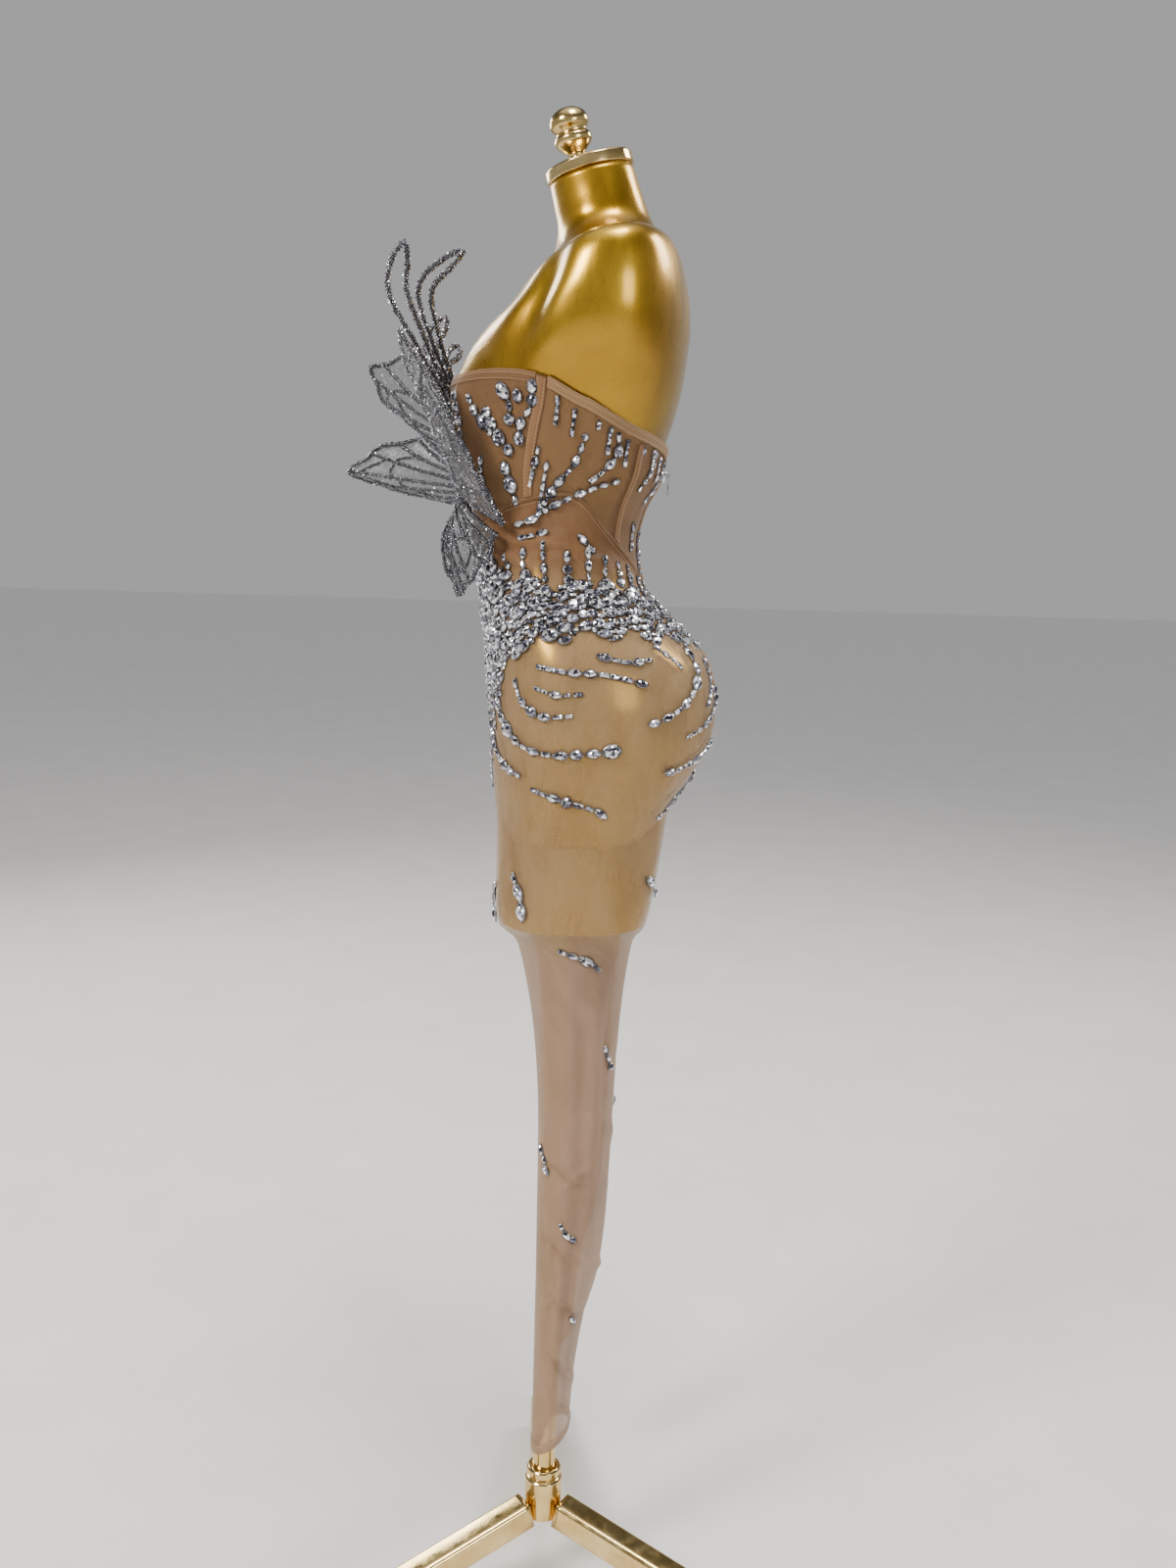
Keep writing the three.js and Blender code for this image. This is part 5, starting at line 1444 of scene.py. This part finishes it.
# Strands on the bodice and the hips: pattern, scale at the start and the end, and (angle, z) places.
BODICE_STRANDS = [
    ("oRmo", 1.05, 1.05, [(67, 1294), (68, 1272), (64, 1252), (65, 1236)]),
    ("moOr", 1.0, 1.05, [(35, 1284), (41, 1264), (50, 1244), (56, 1228)]),
    ("OmR", 1.1, 0.95, [(50, 1292), (56, 1276), (58, 1256), (56, 1244)]),
    ("oO", 1.0, 1.1, [(60, 1286), (62, 1268)]),
    ("RoO", 1.0, 1.0, [(44, 1270), (49, 1256), (57, 1236), (63, 1224)]),
    ("oOmR", 1.1, 0.95, [(57, 1220), (60, 1202), (63, 1186), (65, 1170)]),
    ("mbBb", 0.95, 0.9, [(78, 1174), (79, 1192), (80, 1210), (80, 1228)]),
    ("rmoMbMm", 1.0, 1.0, [(77, 1170), (85, 1196), (92, 1220), (95, 1254)]),
    ("mrMmMBm", 0.95, 0.95, [(75, 1167), (90, 1184), (106, 1197), (125, 1207)]),
    ("BbMo", 1.0, 1.0, [(102, 1202), (110, 1216), (115, 1232), (112, 1250)]),
    ("bBM", 0.95, 0.95, [(72, 1196), (74, 1214), (75, 1234)]),
    ("mMor", 1.0, 0.95, [(64, 1160), (72, 1164), (80, 1170)]),
    ("mbMr", 1.0, 0.95, [(66, 1146), (76, 1150), (86, 1156)]),
    ("MmM", 1.0, 0.9, [(101, 1152), (108, 1140), (114, 1128)]),
    ("bBmr", 0.95, 0.9, [(149, 1236), (147, 1220), (143, 1206), (139, 1192)]),
    ("Bmbm", 0.95, 0.9, [(168, 1228), (165, 1208), (160, 1192), (157, 1176)]),
    ("mbmB", 0.9, 0.9, [(151, 1166), (152, 1150), (151, 1134)]),
    ("rmMb", 0.9, 0.9, [(172, 1158), (170, 1140), (168, 1124), (166, 1110)]),
    ("rOmo", 1.0, 0.95, [(15, 1270), (19, 1248), (17, 1226), (21, 1204)]),
    ("moRm", 0.95, 0.95, [(27, 1288), (30, 1262), (29, 1238), (33, 1216)]),
    ("mroM", 0.95, 0.95, [(42, 1226), (40, 1204), (45, 1184), (50, 1170)]),
]
HIP_STRANDS = [
    ("BbMoM", 0.9, 1.0, [(52, 1012), (57, 992), (70, 979), (88, 981)]),
    ("MoMOMbMB", 1.0, 1.0, [(31, 1004), (38, 972), (56, 948), (80, 942), (108, 950)]),
    ("moMB", 0.95, 0.9, [(17, 962), (27, 936), (42, 922), (58, 916)]),
    ("BbMR", 0.9, 1.0, [(64, 906), (80, 899), (96, 889), (106, 876)]),
    ("MMOmMB", 1.0, 0.9, [(149, 1042), (147, 1018), (136, 994), (120, 976), (110, 972)]),
    ("mrmMb", 0.85, 0.85, [(164, 1030), (160, 1004), (150, 982)]),
    ("mMmbB", 0.85, 0.85, [(172, 1000), (160, 978), (146, 964), (132, 956)]),
    ("MmbB", 0.9, 0.85, [(166, 946), (152, 934), (138, 926), (124, 922)]),
    ("mMbb", 0.85, 0.8, [(170, 912), (158, 896), (148, 882), (140, 872)]),
    ("BBBMM", 0.9, 0.95, [(68, 1026), (84, 1022), (98, 1020), (116, 1010)]),
    ("bbMbB", 0.9, 0.85, [(66, 1006), (80, 1000), (92, 1002)]),
    ("MbB", 0.95, 0.85, [(96, 1038), (108, 1032), (122, 1034)]),
    ("Bmb", 0.85, 0.8, [(126, 1046), (134, 1030), (138, 1018)]),
    ("mmbm", 0.85, 0.8, [(6, 956), (9, 930), (8, 904), (10, 884)]),
]
# Leg strands: leg, pattern, scale, and (key, z) places. Keys run from the front, 0, round the outside.
LEG_STRANDS = [
    ("left", "bMMO", 0.9, [(0.3, 816), (0.35, 796), (0.38, 768)]),
    ("left", "MbmB", 0.85, [(0.74, 812), (0.8, 798), (0.83, 780)]),
    ("left", "mmb", 0.8, [(0.12, 792), (0.18, 772), (0.2, 756)]),
    ("left", "bmM", 0.8, [(0.46, 742), (0.56, 728), (0.62, 712)]),
    ("left", "mbr", 0.75, [(0.68, 632), (0.72, 612), (0.74, 594)]),
    ("left", "bm", 0.75, [(0.82, 566), (0.84, 548)]),
    ("left", "mbm", 0.75, [(0.27, 520), (0.3, 502), (0.36, 486)]),
    ("left", "bmr", 0.7, [(0.44, 440), (0.5, 426), (0.56, 418)]),
    ("left", "mb", 0.7, [(0.6, 330), (0.66, 318)]),
    ("right", "mbMb", 0.85, [(0.28, 824), (0.38, 812), (0.46, 798)]),
    ("right", "MbmB", 0.85, [(0.7, 816), (0.78, 796), (0.84, 786)]),
    ("right", "mbM", 0.8, [(0.4, 748), (0.5, 730), (0.58, 722)]),
    ("right", "mmb", 0.8, [(0.1, 720), (0.16, 700), (0.17, 684)]),
    ("right", "mbr", 0.75, [(0.6, 620), (0.66, 602), (0.7, 590)]),
    ("right", "bmm", 0.75, [(0.3, 548), (0.36, 532), (0.4, 514)]),
    ("right", "bm", 0.7, [(0.74, 470), (0.78, 452)]),
    ("right", "mb", 0.7, [(0.42, 380), (0.48, 366)]),
]
PAIRS_UNDER_BINDING = (79, 87, 99, 107, 120, 134, 145, 156, 169)
# Short strands that stand up from the belt: angle, lower and upper end, and pattern.
SPIKES = ((24, 1128, 1160, "rmB"), (33, 1124, 1150, "mrM"), (44, 1114, 1146, "RrbM"),
          (56, 1108, 1132, "rmb"), (68, 1106, 1140, "RmMm"), (80, 1104, 1146, "rMmB"),
          (92, 1102, 1142, "RRMm"), (105, 1100, 1142, "rbMM"), (117, 1100, 1130, "RmM"),
          (130, 1100, 1126, "Rrm"), (142, 1098, 1124, "rMb"), (156, 1096, 1114, "rm"),
          (170, 1094, 1112, "rb"))


# The belt: angle, its lower and upper edge, and the slope in degrees that its stones lie at.
BELT = [(0, 990, 1150, 76), (14, 988, 1146, 68), (30, 1000, 1132, 50), (46, 1026, 1114, 32),
        (70, 1050, 1103, 14), (100, 1058, 1101, 4), (135, 1055, 1098, -10), (160, 1048, 1092, -26),
        (177, 1044, 1086, -38)]
BELT_RADIUS = 135.0
SEWN_LIFT = WALL + 0.1
# Sizes that are packed in one after another: kinds, tries, scale.
BELT_SORTS = (("OMMRo", 3000, 1.12), ("MMmoB", 9000, 1.0), ("mrb", 9000, 0.9), ("d", 4000, 1.0))


def belt(work, side):
    """Stones packed side by side, each in the free place that was found for it."""
    sign = SIGNS[side]
    places = np.zeros((0, 4))
    for kinds, tries, scale in BELT_SORTS:
        for _ in range(tries):
            a = random.uniform(2.5, 176.5)
            _, low, high, slope = at(BELT, a)
            wave = 6 * math.sin(a / 3.7 + sign)
            z = random.uniform(low + wave, high + 0.6 * wave)
            kind = random.choice(kinds)
            grow = scale * random.uniform(0.85, 1.08)
            _, _, length, width, _ = STONES[kind]
            across, up = math.radians(a) * BELT_RADIUS, z
            tilt = math.radians(slope)
            away = places[:, :2] - (across, up)
            along = away[:, 0] * math.cos(tilt) + away[:, 1] * math.sin(tilt)
            aside = away[:, 1] * math.cos(tilt) - away[:, 0] * math.sin(tilt)
            if np.any((along / (places[:, 2] + length * grow / 2)) ** 2
                      + (aside / (places[:, 3] + width * grow / 2)) ** 2 < 0.93):
                continue
            places = np.vstack([places, (across, up, length * grow / 2, width * grow / 2)])
            tilt += math.radians(random.gauss(0, 9))
            beyond = (a + math.degrees(math.cos(tilt) / BELT_RADIUS), z + math.sin(tilt))
            (point, ahead), (normal, _) = torso_path([(a, z), beyond], SEWN_LIFT, side)
            work.set(kind, point, ahead - point, normal, grow)


FALLS = ((4, 992, 944), (9, 990, 958), (14, 994, 936), (19, 996, 966), (25, 1000, 950), (36, 1008, 984))


def falls(work, side):
    """Short strands that hang from the belt at the front."""
    for n, (a, top, low) in enumerate(FALLS):
        spots = [(a, top), (a + 0.8, (top + low) / 2), (a + 2.6, low)]
        put(work, side, varied(spots, side, 1, 5), ("Mmb", "mMm", "mrM")[n % 3], 0.95, 0.8, 20)


def put(work, side, spots, pattern, scale, end_scale, count=46):
    work.strand(*torso_path(smooth_path(spots, count), SEWN_LIFT, side), pattern, scale, end_scale)


def leg_spray(work, leg, pattern, scale, spots):
    """A strand on a leg, on the thigh above the form's rim and on the free leg below it."""
    spots = smooth_path(spots, 16)
    points = []
    for key, z in spots:
        if z > RIM_Z:
            points.append(thigh_skin(key, clamp((z - RIM_Z) / (crotch_level(key) - RIM_Z)), SEWN_LIFT))
        else:
            low = hem_level(leg, leg_angle(key))
            points.append(leg_skin(leg, key, (z - low) / (RIM_Z - low), SEWN_LIFT))
    path = leg_normals(leg, [key for key, _ in spots], points)
    work.strand(*path, pattern, 1.45 * scale, 1.5 * scale, 1.5)


random.seed(23)
for side in SIGNS:
    work = Crystals()
    for pattern, scale, end_scale, spots in BODICE_STRANDS:
        put(work, side, varied(spots, side, 3, 4), pattern, scale, end_scale)
    for n, a in enumerate(PAIRS_UNDER_BINDING):
        drop = 11 + (n * 5) % 3
        reach = 24 if n % 3 != 2 else 13
        put(work, side, [(a, top_z(a) - drop), (a + 1.5, top_z(a) - drop - reach)], "Bb", 0.9, 0.9, 8)
    work.pieces(f"bodice_{side}")
    work = Crystals()
    belt(work, side)
    for a, low, high, pattern in SPIKES:
        put(work, side, varied([(a, low), (a + 1.5, high)], side, 2, 3), pattern, 0.95, 0.8, 12)
    falls(work, side)
    work.pieces(f"belt_{side}")
    work = Crystals()
    for pattern, scale, end_scale, spots in HIP_STRANDS:
        put(work, side, varied(spots, side, 4, 6), pattern, 1.12 * scale, 1.05 * end_scale)
    for leg, pattern, scale, spots in LEG_STRANDS:
        if leg == side:
            leg_spray(work, leg, pattern, scale, spots)
    work.pieces(f"hips_and_legs_{side}")

centre = Crystals()
centre.strand(*torso_path([(0, z) for z in steps(30, 1138, 972)], 2.2), "mrmrM", 0.85, 0.85, 1.2)
centre.pieces("centre_front")


# Every sheet of cloth: the piece, its flat width, length and area, and the trims sewn to it.
SHEETS = [("bodice_front_cloth", 0.375, 0.160, 0.0420, ["bodice_front_turned_edge"])]
SHEETS += [(f"bodice_side_{side}_cloth", 0.122, 0.112, 0.0107,
            [f"channel_front_{side}_tape", f"binding_{side}_elastic"]) for side in SIGNS]
SHEETS += [(f"bodice_back_{side}_cloth", 0.110, 0.135, 0.0120,
            [f"channel_back_{side}_tape", f"zip_tape_{side}_weave"]) for side in SIGNS]
SHEETS += [
    ("lower_left_cloth", 0.500, 1.030, 0.3220,
     ["waist_seam_roll", "centre_front_seam", "hem_left", "inside_seam_left"]),
    ("lower_right_cloth", 0.500, 1.010, 0.3180,
     ["centre_back_seam", "hem_right", "inside_seam_right"]),
    ("wing_upper_left_organza", 0.190, 0.150, 0.0181, []),
    ("wing_lower_left_organza", 0.140, 0.090, 0.0075, []),
    ("wing_upper_right_organza", 0.160, 0.110, 0.0108, []),
    ("wing_lower_right_organza", 0.170, 0.120, 0.0120, []),
]


# Camera, floor and light

CAMERA = {"x": 1562.0, "y": 27.4, "z": 1150.0, "pitch": 9.57, "roll": 1.64, "focal_px": 1495.0}
PHOTO_HEIGHT = 1600.0
SENSOR = 36.0


def camera():
    pitch, roll = math.radians(CAMERA["pitch"]), math.radians(CAMERA["roll"])
    forward = Vector((-math.cos(pitch), 0, -math.sin(pitch)))
    level_right = Vector((0, 1, 0))
    level_up = level_right.cross(forward)
    right = level_right * math.cos(roll) + level_up * math.sin(roll)
    up = level_up * math.cos(roll) - level_right * math.sin(roll)
    data = bpy.data.cameras.new("camera")
    data.sensor_fit = "VERTICAL"
    data.sensor_height = SENSOR
    data.lens = CAMERA["focal_px"] * SENSOR / PHOTO_HEIGHT
    data.clip_start = 0.05
    obj = link("camera", data)
    turn = Matrix((right, up, -forward)).transposed().to_4x4()
    obj.matrix_world = Matrix.Translation(place((CAMERA["x"], CAMERA["y"], CAMERA["z"]))) @ turn
    bpy.context.scene.camera = obj


def floor():
    mesh = bpy.data.meshes.new("floor")
    corners = [(x, y, 0) for x, y in ((-24, -24), (24, -24), (24, 24), (-24, 24))]
    mesh.from_pydata(corners, [], [(0, 1, 2, 3)])
    mesh.materials.append(plain_look("pale_floor", (0.8, 0.785, 0.77), 0.03, 6, Roughness=0.75))
    link("floor", mesh)


# Area lights: name, place, where it points, size, power, colour.
LIGHTS = [
    ("key", (1.9, -2.2, 3.0), (0, 0, 1.05), 0.9, 120, (1, 0.95, 0.87)),
    ("fill", (2.8, 1.9, 1.6), (0, 0, 0.9), 1.3, 36, (0.95, 0.97, 1)),
    ("rim", (-1.6, 2.4, 2.8), (0, 0, 1.1), 1.0, 60, (1, 0.95, 0.88)),
    ("back", (-2.4, -1.8, 2.2), (0, 0, 1.0), 1.2, 50, (1, 1, 1)),
    ("top", (0.6, 0.3, 3.6), (0, 0, 1.0), 0.8, 60, (1, 0.97, 0.93)),
]


def lights():
    for name, where, target, size, power, color in LIGHTS:
        data = bpy.data.lights.new(name, "AREA")
        data.size = size
        data.energy = power
        data.color = color
        turn = (Vector(target) - Vector(where)).to_track_quat("-Z", "Y").to_matrix().to_4x4()
        link(name, data).matrix_world = Matrix.Translation(where) @ turn
    bpy.context.scene.world = studio_world()


# The room: pale near the horizon, dark above it and bright overhead, by (z + 1) / 2 of the direction.
ROOM = [(0.0, 0.4), (0.67, 0.4), (0.76, 0.14), (0.87, 0.12), (0.94, 0.8), (1.0, 1.2)]


def studio_world():
    world = bpy.data.worlds.new("studio")
    world.use_nodes = True
    tree = world.node_tree
    split = tree.nodes.new("ShaderNodeSeparateXYZ")
    tree.links.new(tree.nodes.new("ShaderNodeTexCoord").outputs["Generated"], split.inputs[0])
    share = tree.nodes.new("ShaderNodeMapRange")
    share.inputs["From Min"].default_value = -1.0
    tree.links.new(split.outputs["Z"], share.inputs["Value"])
    ramp = tree.nodes.new("ShaderNodeValToRGB")
    rows = ramp.color_ramp.elements
    while len(rows) < len(ROOM):
        rows.new(0.5)
    for row, (where, value) in zip(rows, ROOM):
        row.position = where
        row.color = (value, value, value * 1.02, 1)
    tree.links.new(share.outputs["Result"], ramp.inputs["Fac"])
    tree.links.new(ramp.outputs["Color"], tree.nodes["Background"].inputs["Color"])
    tree.nodes["Background"].inputs["Strength"].default_value = 1.0
    return world


camera()
floor()
lights()
